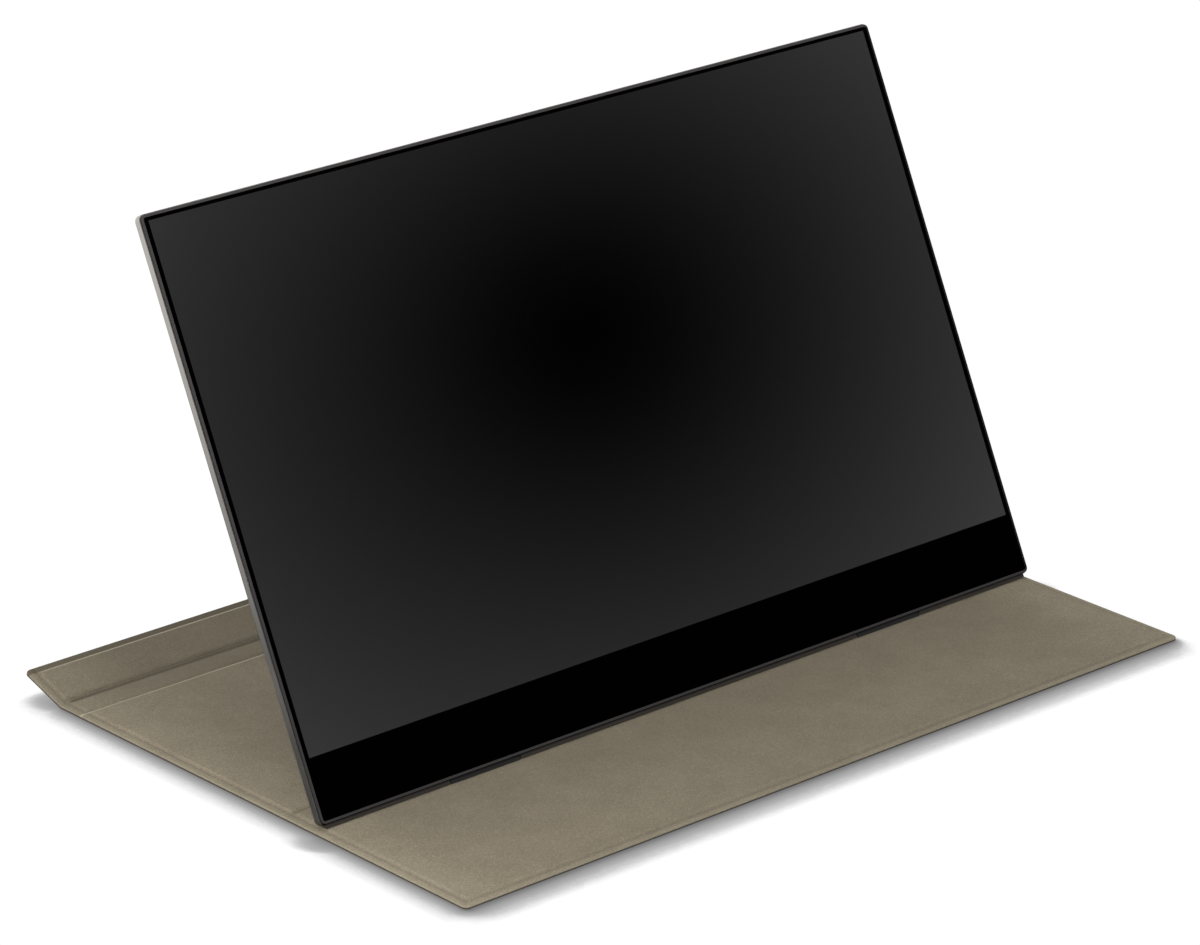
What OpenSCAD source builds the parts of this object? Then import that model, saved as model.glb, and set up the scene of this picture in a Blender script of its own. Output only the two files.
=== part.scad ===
// Portable monitor with a folding cover, standing open on the cover.
// Millimetres. X runs along the width, Y runs back from the viewer and Z is up.
// The origin is the centre of the cover's footprint, on the table.

/* [Cover] */
// How far the cover reaches past each side of the monitor
cover_overhang = 0.75; // [0:0.25:12]
// Front panel, from its free edge to the middle crease
front_len = 96.3; // [90:0.1:120]
// Middle panel, from the middle crease to the spine crease
mid_len = 118; // [100:0.5:150]
// Spine strip, from the spine crease to the rear crease
spine_len = 12.7; // [10:0.1:20]
// Rear strip, from the rear crease to its free edge
rear_len = 22.4; // [20:0.1:40]
// Angle by which the rear strip curls up from the table
rear_curl = 18; // [0:1:35]
// Radius of the cover's corners
cover_corner = 2.2; // [1:0.1:6]
// Flat margin between a free edge and the raised field over the board
edge_margin = 3.3; // [2.5:0.1:8]
// Radius of the raised field's corners
field_corner = 2.5; // [1.5:0.5:8]
// Thickness of the outer skin
skin_t = 0.7; // [0.4:0.1:1.2]
// Thickness of the stiffening boards
board_t = 0.8; // [0.5:0.1:1.5]
// Thickness of the suede lining
lining_t = 0.7; // [0.4:0.1:1.2]
// Width of the middle crease
mid_crease_w = 1.6; // [1:0.1:3]
// Width of the spine crease
spine_crease_w = 1.2; // [1:0.1:3]
// Width of the groove at the rear strip
rear_crease_w = 3.2; // [3:0.1:5]
// Length of a closing magnet in the cover
cover_magnet_len = 18; // [8:1:30]
// Width of a closing magnet in the cover
cover_magnet_w = 5; // [3:0.5:7]

/* [Monitor] */
// Radius of the outer corners, seen from the front
mon_corner = 2.2; // [2.2:0.1:6]
// Angle by which the monitor leans back
recline = 25.4; // [18:0.1:35]
// Clearance of the frame's lower rear edge above the cover
edge_clear = 0.7; // [0.5:0.05:2]
// Distance of the lower front edge behind the cover's front edge
stand_setback = 77; // [60:0.5:90]

/* [Screen] */
// Width of the active picture
active_w = 344.2; // [310:0.1:390]
// Height of the active picture
active_h = 193.6; // [170:0.1:220]
// Border between the outer edge and each side of the picture
side_border = 3.15; // [2.8:0.05:8]
// Border between the outer edge and the top of the picture
top_border = 2.6; // [2.6:0.1:8]
// Border between the outer edge and the bottom of the picture
chin = 23.7; // [21:0.1:32]
// Depth of the glass face behind the lip round it
glass_recess = 0.1; // [0:0.05:0.3]
// Thickness of the cover glass
glass_t = 0.8; // [0.5:0.1:1.5]
// Thickness of the optical adhesive
adhesive_t = 0.15; // [0.1:0.05:0.3]
// Thickness of the liquid crystal cell
cell_t = 0.9; // [0.6:0.1:1.4]
// Thickness of the diffuser and prism films
film_t = 0.4; // [0.2:0.1:0.8]
// Thickness of the light guide
guide_t = 0.5; // [0.4:0.1:1.5]
// Thickness of the reflector sheet
reflector_t = 0.15; // [0.1:0.05:0.3]
// Thickness of the backlight tray's sheet metal
tray_t = 0.4; // [0.2:0.1:0.8]
// Number of light sources along the lower edge
led_count = 40; // [20:1:42]

/* [Frame] */
// Thickness of the metal side wall
rim_wall = 1; // [0.8:0.1:1.1]
// Width of the metal flange round the back plate
rim_flange = 2; // [1.8:0.1:2.1]
// Radius of the side frame's rear edge
rim_round = 1.2; // [0.4:0.1:1.2]
// Width of the shadow line between the lip and the side frame
shadow_line = 0.35; // [0.2:0.05:0.5]
// Width of the lip round the glass
lip_w = 0.9; // [0.8:0.1:1.1]
// Thickness of the back plate
back_plate_t = 1; // [0.8:0.1:1.5]
// Distance of each rubber foot from the middle
foot_x = 100; // [60:1:140]
// Length of each rubber foot
foot_len = 32; // [15:1:50]

/* [Housing] */
// Inset of the rear housing from each side of the monitor
housing_inset = 12; // [10:0.5:15]
// Height of the housing's lower edge above the monitor's lower edge
housing_low = 7; // [6:0.5:9]
// Height of the housing's upper edge above the monitor's lower edge
housing_high = 128; // [126:1:150]
// Depth of the housing behind the back plate
housing_depth = 9.3; // [9.1:0.1:12]
// Wall of the housing
wall = 1.5; // [1.2:0.1:1.8]
// Radius of the housing's corners, seen from behind
housing_corner = 8; // [4:0.5:12]
// Bevel along the housing's rear edges
housing_bevel = 2.5; // [1:0.1:2.7]

/* [Kickstand] */
// Width of the kickstand plate
stand_w = 190; // [180:1:190]
// Thickness of the kickstand plate
stand_t = 2; // [1.5:0.1:2.2]
// Height of the hinge axis above the monitor's lower edge
hinge_y = 118; // [114:0.5:122]
// Distance of each hinge's middle from the side of the plate
hinge_inset = 25; // [23:0.5:35]
// Radius of the hinge barrels
barrel_r = 2; // [1.8:0.1:2.2]
// Length of each hinge barrel
barrel_len = 18; // [12:0.5:20]
// Radius of the hinge pins
pin_r = 1; // [0.7:0.1:1.1]
// Radial running clearance of a barrel on its pin
pin_gap = 0.05; // [0.02:0.01:0.08]
// Thickness of the bracket's ears
ear_t = 2; // [1.2:0.1:2.5]

/* [Ports and keys] */
// Height of a USB socket's shell
usb_h = 3.26; // [3:0.01:3.6]
// Width of a USB socket's shell
usb_w = 8.94; // [8:0.01:9.5]
// Height of the mini video socket's shell
video_h = 3.2; // [3:0.1:3.6]
// Width of the mini video socket's shell
video_w = 11.2; // [10:0.1:12]
// Depth of the sockets' shells
socket_depth = 7.3; // [6:0.1:9]
// Radius of the headphone socket's bore
audio_r = 1.8; // [1.75:0.01:1.85]
// Length of the power key
key_len = 9; // [6:0.5:11]
// Width of the power key
key_w = 3; // [2:0.1:3.4]
// Travel of the keys
key_travel = 0.4; // [0.2:0.05:0.4]
// Clearance round a key or socket in its hole
key_gap = 0.15; // [0.1:0.05:0.3]

/* [Hidden] */
$fn = 48;

// --- clearances and small shared sizes ---
seat_gap = 0.2; // rubber feet above the suede
foot_proud = 0.25; // rubber feet below the heel strip
foot_slack = 0.5; // rubber feet between the strip's lengths
fold_gap = 0.4; // kickstand in its recess
side_gap = 0.3; // between moving flat faces
fit_gap = 0.1; // glass and panel in the mid frame
cut = 1; // how far a cutting shape runs past a face

// --- outer sizes that follow from the picture ---
mon_w = active_w + 2 * side_border;
mon_h = active_h + top_border + chin;
cover_w = mon_w + 2 * cover_overhang;

// --- cover, flat ---
edge_t = skin_t + lining_t;
field_t = skin_t + board_t + lining_t;
board_margin = edge_margin + lining_t;
fold_mid = edge_t / 2;
rear_reach = rear_len * cos(rear_curl) + fold_mid * sin(rear_curl);
foot_print = front_len + mid_len + spine_len + rear_reach;
front_y = -foot_print / 2;
mid_fold_y = front_y + front_len;
spine_fold_y = mid_fold_y + mid_len;
rear_fold_y = spine_fold_y + spine_len;
magnet_pitch = 40;
magnet_end = 8;
magnet_count = floor((cover_w / 2 - board_margin - cover_magnet_len / 2 - magnet_end) / magnet_pitch);
rear_magnet_x = [for (i = [-magnet_count : magnet_count]) i * magnet_pitch];
front_magnet_x = [-magnet_count * magnet_pitch, magnet_count * magnet_pitch];
magnet_slack = 0.1;

// --- monitor depths, behind the lip's front face ---
glass_back = glass_recess + glass_t;
cell_front = glass_back + adhesive_t;
film_front = cell_front + cell_t;
guide_front = film_front + film_t;
reflector_front = guide_front + guide_t;
tray_floor = reflector_front + reflector_t;
plate_front = tray_floor + tray_t;
slab_t = plate_front + back_plate_t;
rear_face = slab_t + housing_depth;

// --- monitor outlines, seen from the front ---
glass_inset = shadow_line + lip_w + fit_gap / 2;
panel_inset = rim_flange + fit_gap;
guide_low = chin - 1;
tray_low = guide_low - 4;
cell_low = guide_low - 2.5;

// --- housing and what it holds ---
housing_x = mon_w / 2 - housing_inset;
circuit_t = 1;
circuit_front = slab_t + 1;
circuit_back = circuit_front + circuit_t;
inner_x = housing_x - wall;
inner_rear = rear_face - wall;
inner_bevel = max(0.2, housing_bevel - wall);
board_right = -20;
board_x = [-inner_x + 0.45, board_right];
board_rise = [23, 93];
board_y = [for (rise = board_rise) housing_low + rise];
board_edge = 6;
stud_clear = 24;
key_board_reach = 15.5;
key_board_gap = 1.95;
key_board_x = [inner_x - key_board_reach, inner_x - key_board_gap];
key_board_rise = [37, 91];
key_board_y = [for (rise = key_board_rise) housing_low + rise];
board_stud_r = 2.4;
screw_r = 1;
screw_head_r = 2;
screw_head_t = 0.8;
port_d = circuit_back + usb_h / 2;
audio_d = circuit_back + audio_r + 0.55;
socket_mouth = -housing_x + 0.3;
shell_t = 0.3;
port_pitch = 15;
port_rise = 33;
port_y = [housing_low + port_rise, housing_low + port_rise + port_pitch];
video_pitch = 16;
video_y = port_y[1] + video_pitch;
audio_pitch = 17;
audio_y = video_y + audio_pitch;
power_rise = 77;
power_y = housing_low + power_rise;
key_pitch = 18;
menu_y = power_y - key_pitch;
light_rise = 10;
light_y = power_y + light_rise;
menu_r = 2.2;
light_r = 0.8;
key_d = slab_t + 3.9;
key_flange_t = 0.8;
key_proud = 0.6;
tray_edge = 0.3;
boss_r = 3.2;
corner_inset = 9;
corner_rise = 9;
screw_drop = 10;
stand_clear = 6;
corner_screw_x = inner_x - corner_inset;
inner_screw_x = stand_w / 2 + stand_clear;
housing_screw_at = [
    for (side = [-1, 1]) each [
        [side * corner_screw_x, housing_low + corner_rise],
        [side * corner_screw_x, housing_high - screw_drop],
        [side * inner_screw_x, housing_high - screw_drop]
    ]
];
speaker_x = [stand_w / 2 + 3.5, corner_screw_x - boss_r - 3];
speaker_rise = [4.5, 20];
speaker_y = [for (rise = speaker_rise) housing_low + rise];
slot_w = 1.2;
slot_pitch = 3;
mesh_t = 0.2;

// --- kickstand and hinge, in the closed position ---
hinge_x = stand_w / 2 - hinge_inset;
hinge_d = rear_face - barrel_r;
stand_front = rear_face - 0.1 - stand_t;
recess_floor = stand_front - fold_gap;
stand_top = hinge_y - barrel_r - side_gap;
recess_top = hinge_y + barrel_r + 1;
pocket_floor = hinge_d - barrel_r - side_gap - 0.7;
ledge_len = 8;
ledge_screw = 4.2;
pocket_drop = 5;
bracket_half = barrel_len / 2 + side_gap + ear_t + ledge_len;
hinge_screw_x = barrel_len / 2 + side_gap + ear_t + ledge_screw;
pocket_low = hinge_y - pocket_drop;

// --- where the monitor and its kickstand stand ---
mon_y = front_y + stand_setback;
front_lift = edge_clear + (slab_t - rim_round) * sin(recline) + rim_round * (1 - cos(recline));
mon_z = field_t + front_lift;
hinge_rise = hinge_y * cos(recline) - hinge_d * sin(recline);
stand_reach = mon_z + hinge_rise - field_t - seat_gap;
stand_foot_r = stand_t / 2 + 0.2;
stand_foot_h = 3;
stand_low = hinge_y - stand_reach + stand_foot_h;
leaf_t = 0.8;
leaf_h = 8;
rivet_r = 1.6;

// ---------------------------------------------------------------- shapes

// A sheet from y0 to y1, with rounded corners of r0 at y0 and r1 at y1.
module sheet(y0, y1, w, r0 = 0, r1 = 0) {
    translate([-w / 2, y0 + r0]) square([w, y1 - y0 - r0 - r1]);
    if (r0 > 0) sheet_end(y0, w, r0, 1);
    if (r1 > 0) sheet_end(y1, w, r1, -1);
}

module sheet_end(y, w, r, dir) {
    translate([r - w / 2, min(y, y + dir * r)]) square([w - 2 * r, r]);
    for (side = [-1, 1]) translate([side * (w / 2 - r), y + dir * r]) circle(r);
}

// A slot with round ends, w long on X and h high on Y.
module stadium(w, h) {
    square([w - h, h], center = true);
    for (side = [-1, 1]) translate([side * (w - h) / 2, 0]) circle(d = h);
}

// Puts a piece drawn on the screen plane where the leaning monitor is.
// There X is the width, Y runs up the screen and Z points to the viewer.
module stood() {
    translate([0, mon_y, mon_z]) rotate([90 - recline, 0, 0]) children();
}

// Extrudes an outline between two depths behind the lip's front face.
module layer(front, back) {
    translate([0, 0, -back]) linear_extrude(back - front) children();
}

// The outline of the monitor, drawn in by inset on every side.
module mon_outline(inset) {
    r = max(0.2, mon_corner - inset);
    sheet(inset, mon_h - inset, mon_w - 2 * inset, r, r);
}

// A flat rectangle between corners [x0, x1] and [y0, y1].
module plate(x, y) {
    translate([x[0], y[0]]) square([x[1] - x[0], y[1] - y[0]]);
}

// A profile in depth and height, run along X between x0 and x1.
// Its points are [depth, height].
module along_x(x0, x1, points) {
    translate([x0, 0, 0]) rotate([90, 0, 90]) linear_extrude(x1 - x0)
        polygon([for (p = points) [p[1], -p[0]]]);
}

// Sweeps a profile round the monitor's outline. The profile's X is the
// distance outward from the outer edge and its Y is the height to the viewer.
module rim_sweep() {
    long_x = mon_w - 2 * mon_corner;
    long_y = mon_h - 2 * mon_corner;
    for (side = [0, 1]) {
        translate([0, side * mon_h, 0]) mirror([0, 1 - side, 0]) rotate([90, 0, 90])
            linear_extrude(long_x, center = true) children();
        mirror([side, 0, 0]) translate([mon_w / 2, mon_h / 2, 0]) rotate([90, 0, 0])
            linear_extrude(long_y, center = true) children();
    }
    for (x = [0, 1]) for (y = [0, 1])
        mirror([x, 0, 0]) translate([long_x / 2, mon_corner + y * long_y, 0])
            rotate([0, 0, y * 90 - 90]) rotate_extrude(angle = 90)
                translate([mon_corner, 0]) children();
}

// A cylinder along X, centred at a height and depth on the screen plane.
module rod(x0, x1, y, d, r) {
    translate([x0, y, -d]) rotate([0, 90, 0]) cylinder(h = x1 - x0, r = r);
}

// A cylinder along the depth, between two depths.
module stud(x, y, front, back, r) {
    translate([x, y, -back]) cylinder(h = back - front, r = r);
}

// ---------------------------------------------------------------- cover

// One panel of the cover lies flat between y0 and y1. Each has the same
// three layers; r0 and r1 are its corner radii, which mark its free ends.
module skin_sheet(y0, y1, r0 = 0, r1 = 0) {
    linear_extrude(skin_t) sheet(y0, y1, cover_w, r0, r1);
}

function inner_edge(r) = r > 0 ? board_margin : lining_t;

function board_corner(r, extra) = r > 0 ? field_corner - lining_t + extra : 0;

// The board's outline, drawn out by extra on every side.
module board_sheet(y0, y1, r0, r1, extra = 0) {
    sheet(y0 + inner_edge(r0) - extra, y1 - inner_edge(r1) + extra,
        cover_w - 2 * board_margin + 2 * extra,
        board_corner(r0, extra), board_corner(r1, extra));
}

module board_layer(y0, y1, r0 = 0, r1 = 0) {
    translate([0, 0, skin_t]) linear_extrude(board_t) board_sheet(y0, y1, r0, r1);
}

module lining_sheet(y0, y1, r0 = 0, r1 = 0) {
    difference() {
        translate([0, 0, skin_t]) union() {
            linear_extrude(lining_t) sheet(y0, y1, cover_w, r0, r1);
            linear_extrude(board_t + lining_t) board_sheet(y0, y1, r0, r1, lining_t);
        }
        board_layer(y0, y1, r0, r1);
    }
}

// The four panels' own ends.
front_span = [front_y, mid_fold_y - mid_crease_w / 2];
mid_span = [mid_fold_y + mid_crease_w / 2, spine_fold_y - spine_crease_w / 2];
spine_span = [spine_fold_y + spine_crease_w / 2, rear_fold_y - rear_crease_w / 2];
rear_span = [rear_crease_w / 2, rear_len];

// Lifts the rear strip round its crease, from a strip drawn flat at y = 0.
module curled() {
    translate([0, rear_fold_y, fold_mid]) rotate([rear_curl, 0, 0])
        translate([0, 0, -fold_mid]) children();
}

front_magnet_y = front_y + board_margin + cover_magnet_w / 2 + 1.5;
rear_magnet_y = (rear_span[0] + rear_span[1] - edge_margin) / 2;

// A row of bar magnets let into a board.
module magnet_bars(places, y, slack = 0) {
    for (x = places) translate([x, y, skin_t + board_t / 2])
        cube([cover_magnet_len + slack, cover_magnet_w + slack, board_t], center = true);
}

module front_outer_skin() {
    color([0.3, 0.27, 0.24]) skin_sheet(front_span[0], front_span[1], cover_corner);
}

module front_board() {
    color([0.7, 0.66, 0.58]) difference() {
        board_layer(front_span[0], front_span[1], cover_corner);
        magnet_bars(front_magnet_x, front_magnet_y, magnet_slack);
    }
}

module front_lining() {
    color([0.53, 0.5, 0.42]) lining_sheet(front_span[0], front_span[1], cover_corner);
}

module front_magnets() {
    color([0.6, 0.6, 0.62]) magnet_bars(front_magnet_x, front_magnet_y);
}

module mid_outer_skin() {
    color([0.3, 0.27, 0.24]) skin_sheet(mid_span[0], mid_span[1]);
}

module mid_board() {
    color([0.7, 0.66, 0.58]) board_layer(mid_span[0], mid_span[1]);
}

module mid_lining() {
    color([0.53, 0.5, 0.42]) lining_sheet(mid_span[0], mid_span[1]);
}

module spine_outer_skin() {
    color([0.3, 0.27, 0.24]) skin_sheet(spine_span[0], spine_span[1]);
}

module spine_board() {
    color([0.7, 0.66, 0.58]) board_layer(spine_span[0], spine_span[1]);
}

module spine_lining() {
    color([0.53, 0.5, 0.42]) lining_sheet(spine_span[0], spine_span[1]);
}

module rear_outer_skin() {
    color([0.3, 0.27, 0.24]) curled() skin_sheet(rear_span[0], rear_span[1], 0, cover_corner);
}

module rear_board() {
    color([0.7, 0.66, 0.58]) curled() difference() {
        board_layer(rear_span[0], rear_span[1], 0, cover_corner);
        magnet_bars(rear_magnet_x, rear_magnet_y, magnet_slack);
    }
}

module rear_lining() {
    color([0.53, 0.5, 0.42]) curled() lining_sheet(rear_span[0], rear_span[1], 0, cover_corner);
}

module rear_magnets() {
    color([0.6, 0.6, 0.62]) curled() magnet_bars(rear_magnet_x, rear_magnet_y);
}

// A crease is the outer skin and the lining bonded together, with no board.
module flat_crease(y, w) {
    translate([0, y, 0]) linear_extrude(edge_t) square([cover_w, w], center = true);
}

module mid_crease() {
    color([0.45, 0.42, 0.35]) flat_crease(mid_fold_y, mid_crease_w);
}

module spine_crease() {
    color([0.45, 0.42, 0.35]) flat_crease(spine_fold_y, spine_crease_w);
}

// A point on the curled side of the rear crease, dy along and dz above the
// middle of the bonded layers.
function curled_point(dy, dz) = [
    rear_fold_y + dy * cos(rear_curl) - dz * sin(rear_curl),
    fold_mid + dy * sin(rear_curl) + dz * cos(rear_curl)
];

module rear_crease() {
    half = rear_crease_w / 2;
    color([0.45, 0.42, 0.35]) rotate([90, 0, 90]) linear_extrude(cover_w, center = true)
        polygon([
            [rear_fold_y - half, 0],
            curled_point(half, -fold_mid),
            curled_point(half, fold_mid),
            [rear_fold_y - half, edge_t]
        ]);
}

// ---------------------------------------------------------------- screen

module cover_glass() {
    color([0.02, 0.02, 0.02]) stood() layer(glass_recess, glass_back) mon_outline(glass_inset);
}

// The panel's rectangle above a given height, drawn in by inset.
module panel_area(low, inset = 0) {
    side = mon_w / 2 - panel_inset - inset;
    plate([-side, side], [low, mon_h - panel_inset - inset]);
}

module optical_adhesive() {
    color([0.8, 0.85, 0.9, 0.4]) stood() layer(glass_back, cell_front) panel_area(cell_low);
}

module lcd_cell() {
    color([0.12, 0.12, 0.13]) stood() layer(cell_front, film_front) panel_area(cell_low);
}

module film_stack() {
    color([0.93, 0.93, 0.9]) stood()
        layer(film_front, guide_front) panel_area(guide_low, tray_edge + fit_gap);
}

module light_guide() {
    color([0.85, 0.92, 0.95, 0.6]) stood()
        layer(guide_front, reflector_front) panel_area(guide_low, tray_edge + fit_gap);
}

module reflector_sheet() {
    color([0.95, 0.95, 0.96]) stood()
        layer(reflector_front, tray_floor) panel_area(guide_low, tray_edge + fit_gap);
}

module backlight_tray() {
    color([0.72, 0.73, 0.74]) stood() difference() {
        layer(film_front, plate_front) panel_area(tray_low);
        layer(film_front - cut, tray_floor) panel_area(tray_low + tray_edge, tray_edge);
    }
}

module led_bar() {
    side = active_w / 2;
    pitch = active_w / led_count;
    color([0.9, 0.88, 0.6]) stood() {
        layer(reflector_front, tray_floor) plate([-side, side], [tray_low + 0.6, guide_low - 0.1]);
        for (i = [0 : led_count - 1])
            layer(guide_front, reflector_front) translate([(i + 0.5) * pitch - side, guide_low - 0.9])
                square([3, 1.4], center = true);
    }
}

panel_board_x = 140;
driver_pitch = 38;
driver_size = [14, 4];
flex_pitch = 70;
flex_w = 34;
panel_board_y = [5, tray_low - 3];
panel_board_front = plate_front - 0.8;

// The strip of circuit behind the chin, with its driver chips.
module panel_board() {
    color([0.1, 0.35, 0.2]) stood() {
        layer(panel_board_front, plate_front)
            plate([-panel_board_x, panel_board_x], panel_board_y);
        for (i = [-3 : 3])
            layer(panel_board_front - 1, panel_board_front)
                translate([i * driver_pitch, panel_board_y[0] + 3]) square(driver_size, center = true);
    }
}

flex_t = 0.1;

// Films that carry the picture signals from the board to the cell.
module panel_flex() {
    top = panel_board_y[1];
    d0 = panel_board_front;
    d1 = cell_front + cell_t / 2;
    color([0.75, 0.5, 0.15]) stood() for (i = [-1.5 : 1.5])
        along_x(i * flex_pitch - flex_w / 2, i * flex_pitch + flex_w / 2, [
            [d0, top - 2], [d0 - flex_t, top - 2], [d0 - flex_t, top + 1], [d1, top + 1],
            [d1, cell_low], [d1 + flex_t, cell_low], [d1 + flex_t, top + 1 + flex_t],
            [d0, top + 1 + flex_t]
        ]);
}

// ---------------------------------------------------------------- frame

// Metal band: a side wall with a flange that the back plate is bonded in.
module side_frame() {
    color([0.62, 0.6, 0.57]) stood() rim_sweep() translate([0, -slab_t]) difference() {
        union() {
            translate([-rim_flange, rim_round]) square([rim_flange, slab_t - glass_back - rim_round]);
            translate([-rim_flange, 0]) square([rim_flange - rim_round, rim_round]);
            intersection() {
                translate([-rim_round, rim_round]) circle(rim_round);
                translate([-rim_round, 0]) square(rim_round);
            }
        }
        translate([-rim_flange - cut, back_plate_t]) square([rim_flange - rim_wall + cut, slab_t]);
    }
}

// Plastic frame: the lip round the glass and the ledge that carries it.
module mid_frame() {
    color([0.22, 0.22, 0.22]) stood() rim_sweep() {
        translate([-shadow_line - lip_w, -glass_back]) square([lip_w, glass_back]);
        translate([-rim_flange, -plate_front])
            square([rim_flange - rim_wall, plate_front - glass_back]);
    }
}

cable_w = 24;
cable_inset = 18;
cable_x = [board_x[1] - cable_inset - cable_w, board_x[1] - cable_inset];
cable_t = 0.2;
cable_slot_y = [tray_low - 2.2, tray_low + 0.8];

board_studs = [
    for (x = [board_x[0] + stud_clear, board_x[1] - board_edge])
        for (y = [board_y[0] + board_edge, board_y[1] - board_edge]) [x, y]
];
key_stud_edge = 5;
key_stud_over = 10;
key_stud_inset = 3.5;
key_studs = [
    for (y = [key_board_y[0] + key_stud_edge, menu_y + key_stud_over])
        [key_board_x[0] + key_stud_inset, y]
];

module rear_cover() {
    color([0.16, 0.16, 0.17]) stood() difference() {
        union() {
            layer(plate_front, slab_t) mon_outline(rim_flange);
            for (p = concat(board_studs, key_studs))
                stud(p[0], p[1], slab_t, circuit_front, board_stud_r);
        }
        layer(plate_front - cut, slab_t + cut)
            plate([cable_x[0] - 1, cable_x[1] + 1], cable_slot_y);
        for (p = concat(board_studs, key_studs))
            stud(p[0], p[1], plate_front + 0.3, circuit_front + cut, screw_r);
        for (p = housing_screw_at) stud(p[0], p[1], plate_front + 0.2, slab_t + cut, screw_r);
    }
}

// A wedge under the frame, cut level with the cover at a gap above it.
module wedge(x0, x1, gap) {
    d0 = glass_back + wedge_inset;
    d1 = slab_t - rim_round;
    along_x(x0, x1, [[d0, 0], [d1, 0], [d1, level_at(d1, gap)], [d0, level_at(d0, gap)]]);
}

wedge_inset = 0.3;

// Height on the screen plane at which a depth is at a gap above the cover.
function level_at(d, gap) = (gap - front_lift + d * sin(recline)) / cos(recline);

// Dark strip under the frame, in three lengths with the feet between them.
module heel_strip() {
    end = mon_w / 2 - mon_corner;
    inner = foot_x - foot_len / 2 - foot_slack;
    outer = foot_x + foot_len / 2 + foot_slack;
    color([0.15, 0.14, 0.13]) stood()
        for (span = [[-end, -outer], [-inner, inner], [outer, end]])
            wedge(span[0], span[1], seat_gap + foot_proud);
}

// Rubber pad that the frame stands on.
module foot(side) {
    x = side * foot_x;
    color([0.06, 0.06, 0.06]) stood()
        wedge(x - foot_len / 2, x + foot_len / 2, seat_gap);
}

module foot_left() {
    foot(-1);
}

module foot_right() {
    foot(1);
}

// ---------------------------------------------------------------- housing

// The housing's solid form, drawn in by inset on its five closed sides.
module housing_block(inset, front, bevel) {
    x = housing_x - inset;
    y = [housing_low + inset, housing_high - inset];
    back = rear_face - inset;
    r = housing_corner - inset;
    intersection() {
        layer(front, back) sheet(y[0], y[1], 2 * x, r, r);
        along_x(-x, x, [
            [front, y[0]], [back - bevel, y[0]], [back, y[0] + bevel],
            [back, y[1] - bevel], [back - bevel, y[1]], [front, y[1]]
        ]);
        translate([0, y[1], 0]) rotate([90, 0, 0]) linear_extrude(y[1] - y[0])
            polygon([
                [-x, -front], [-x, bevel - back], [bevel - x, -back],
                [x - bevel, -back], [x, bevel - back], [x, -front]
            ]);
    }
}

// The recess that the folded kickstand lies in, drawn out by extra. It runs
// out through the housing's lower edge, where a finger catches the plate.
module stand_recess(extra) {
    side = stand_w / 2 + side_gap + extra;
    layer(recess_floor - extra, rear_face + cut)
        plate([-side, side], [housing_low - cut, recess_top + extra]);
}

// The deeper pocket round each hinge.
module hinge_pockets(extra) {
    for (side = [-1, 1]) {
        x = side * hinge_x;
        half = bracket_half + side_gap + extra;
        layer(pocket_floor - extra, rear_face + cut)
            plate([x - half, x + half], [pocket_low - extra, recess_top + extra]);
    }
}

// Cuts for the sockets in the left wall and the keys in the right wall.
module port_cuts() {
    for (y = port_y) side_slot(-1, y, port_d, usb_w + 2 * key_gap, usb_h + 2 * key_gap);
    side_slot(-1, video_y, circuit_back + video_h / 2, video_w + 2 * key_gap, video_h + 2 * key_gap);
    rod(-housing_x - cut, -inner_x + cut, audio_y, audio_d, audio_r + 0.45 + key_gap);
    side_slot(1, power_y, key_d, key_len + 2 * key_gap, key_w + 2 * key_gap);
    rod(inner_x - cut, housing_x + cut, menu_y, key_d, menu_r + key_gap);
    rod(inner_x - cut, housing_x + cut, light_y, key_d, light_r);
}

// A slot with round ends through a side wall, long on the screen's height.
module side_slot(side, y, d, long, high) {
    translate([side * (housing_x - wall / 2), y, -d]) rotate([90, 0, 90])
        linear_extrude(wall + 2 * cut, center = true) stadium(long, high);
}

module speaker_slots() {
    count = floor((speaker_x[1] - speaker_x[0] - 8) / slot_pitch);
    for (side = [-1, 1]) for (i = [0 : count]) {
        x = side * (speaker_x[0] + 4 + i * slot_pitch);
        layer(inner_rear - cut, rear_face + cut)
            plate([x - slot_w / 2, x + slot_w / 2], [speaker_y[0] + 3, speaker_y[1] - 3]);
    }
}

module base_housing() {
    color([0.12, 0.12, 0.13]) stood() difference() {
        union() {
            difference() {
                housing_block(0, slab_t, housing_bevel);
                housing_block(wall, slab_t - cut, inner_bevel);
            }
            intersection() {
                housing_block(0, slab_t, housing_bevel);
                union() {
                    stand_recess(wall);
                    hinge_pockets(wall);
                    for (p = housing_screw_at) stud(p[0], p[1], slab_t, rear_face, boss_r);
                }
            }
        }
        stand_recess(0);
        hinge_pockets(0);
        port_cuts();
        speaker_slots();
        for (p = housing_screw_at) {
            stud(p[0], p[1], slab_t - cut, rear_face + cut, screw_r + 0.1);
            stud(p[0], p[1], rear_face - screw_head_t - 0.4, rear_face + cut, screw_head_r + 0.15);
        }
        for (side = [-1, 1]) for (end = [-1, 1])
            stud(side * hinge_x + end * hinge_screw_x, hinge_y, pocket_floor - wall + 0.3,
                pocket_floor + cut, screw_r);
    }
}

// A pan-head screw along the depth, with its head at the rear.
module screw(x, y, tip, seat, head_r = screw_head_r) {
    stud(x, y, tip, seat, screw_r);
    difference() {
        stud(x, y, seat, seat + screw_head_t, head_r);
        for (turn = [0, 90])
            translate([x, y, -seat - screw_head_t]) rotate([0, 0, turn])
                cube([0.4, head_r * 1.2, 0.8], center = true);
    }
}

module housing_screws() {
    color([0.3, 0.3, 0.31]) stood() for (p = housing_screw_at)
        screw(p[0], p[1], plate_front + 0.3, rear_face - screw_head_t - 0.4);
}

module board_screws() {
    color([0.75, 0.75, 0.72]) stood() for (p = concat(board_studs, key_studs))
        screw(p[0], p[1], plate_front + 0.4, circuit_back);
}

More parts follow.
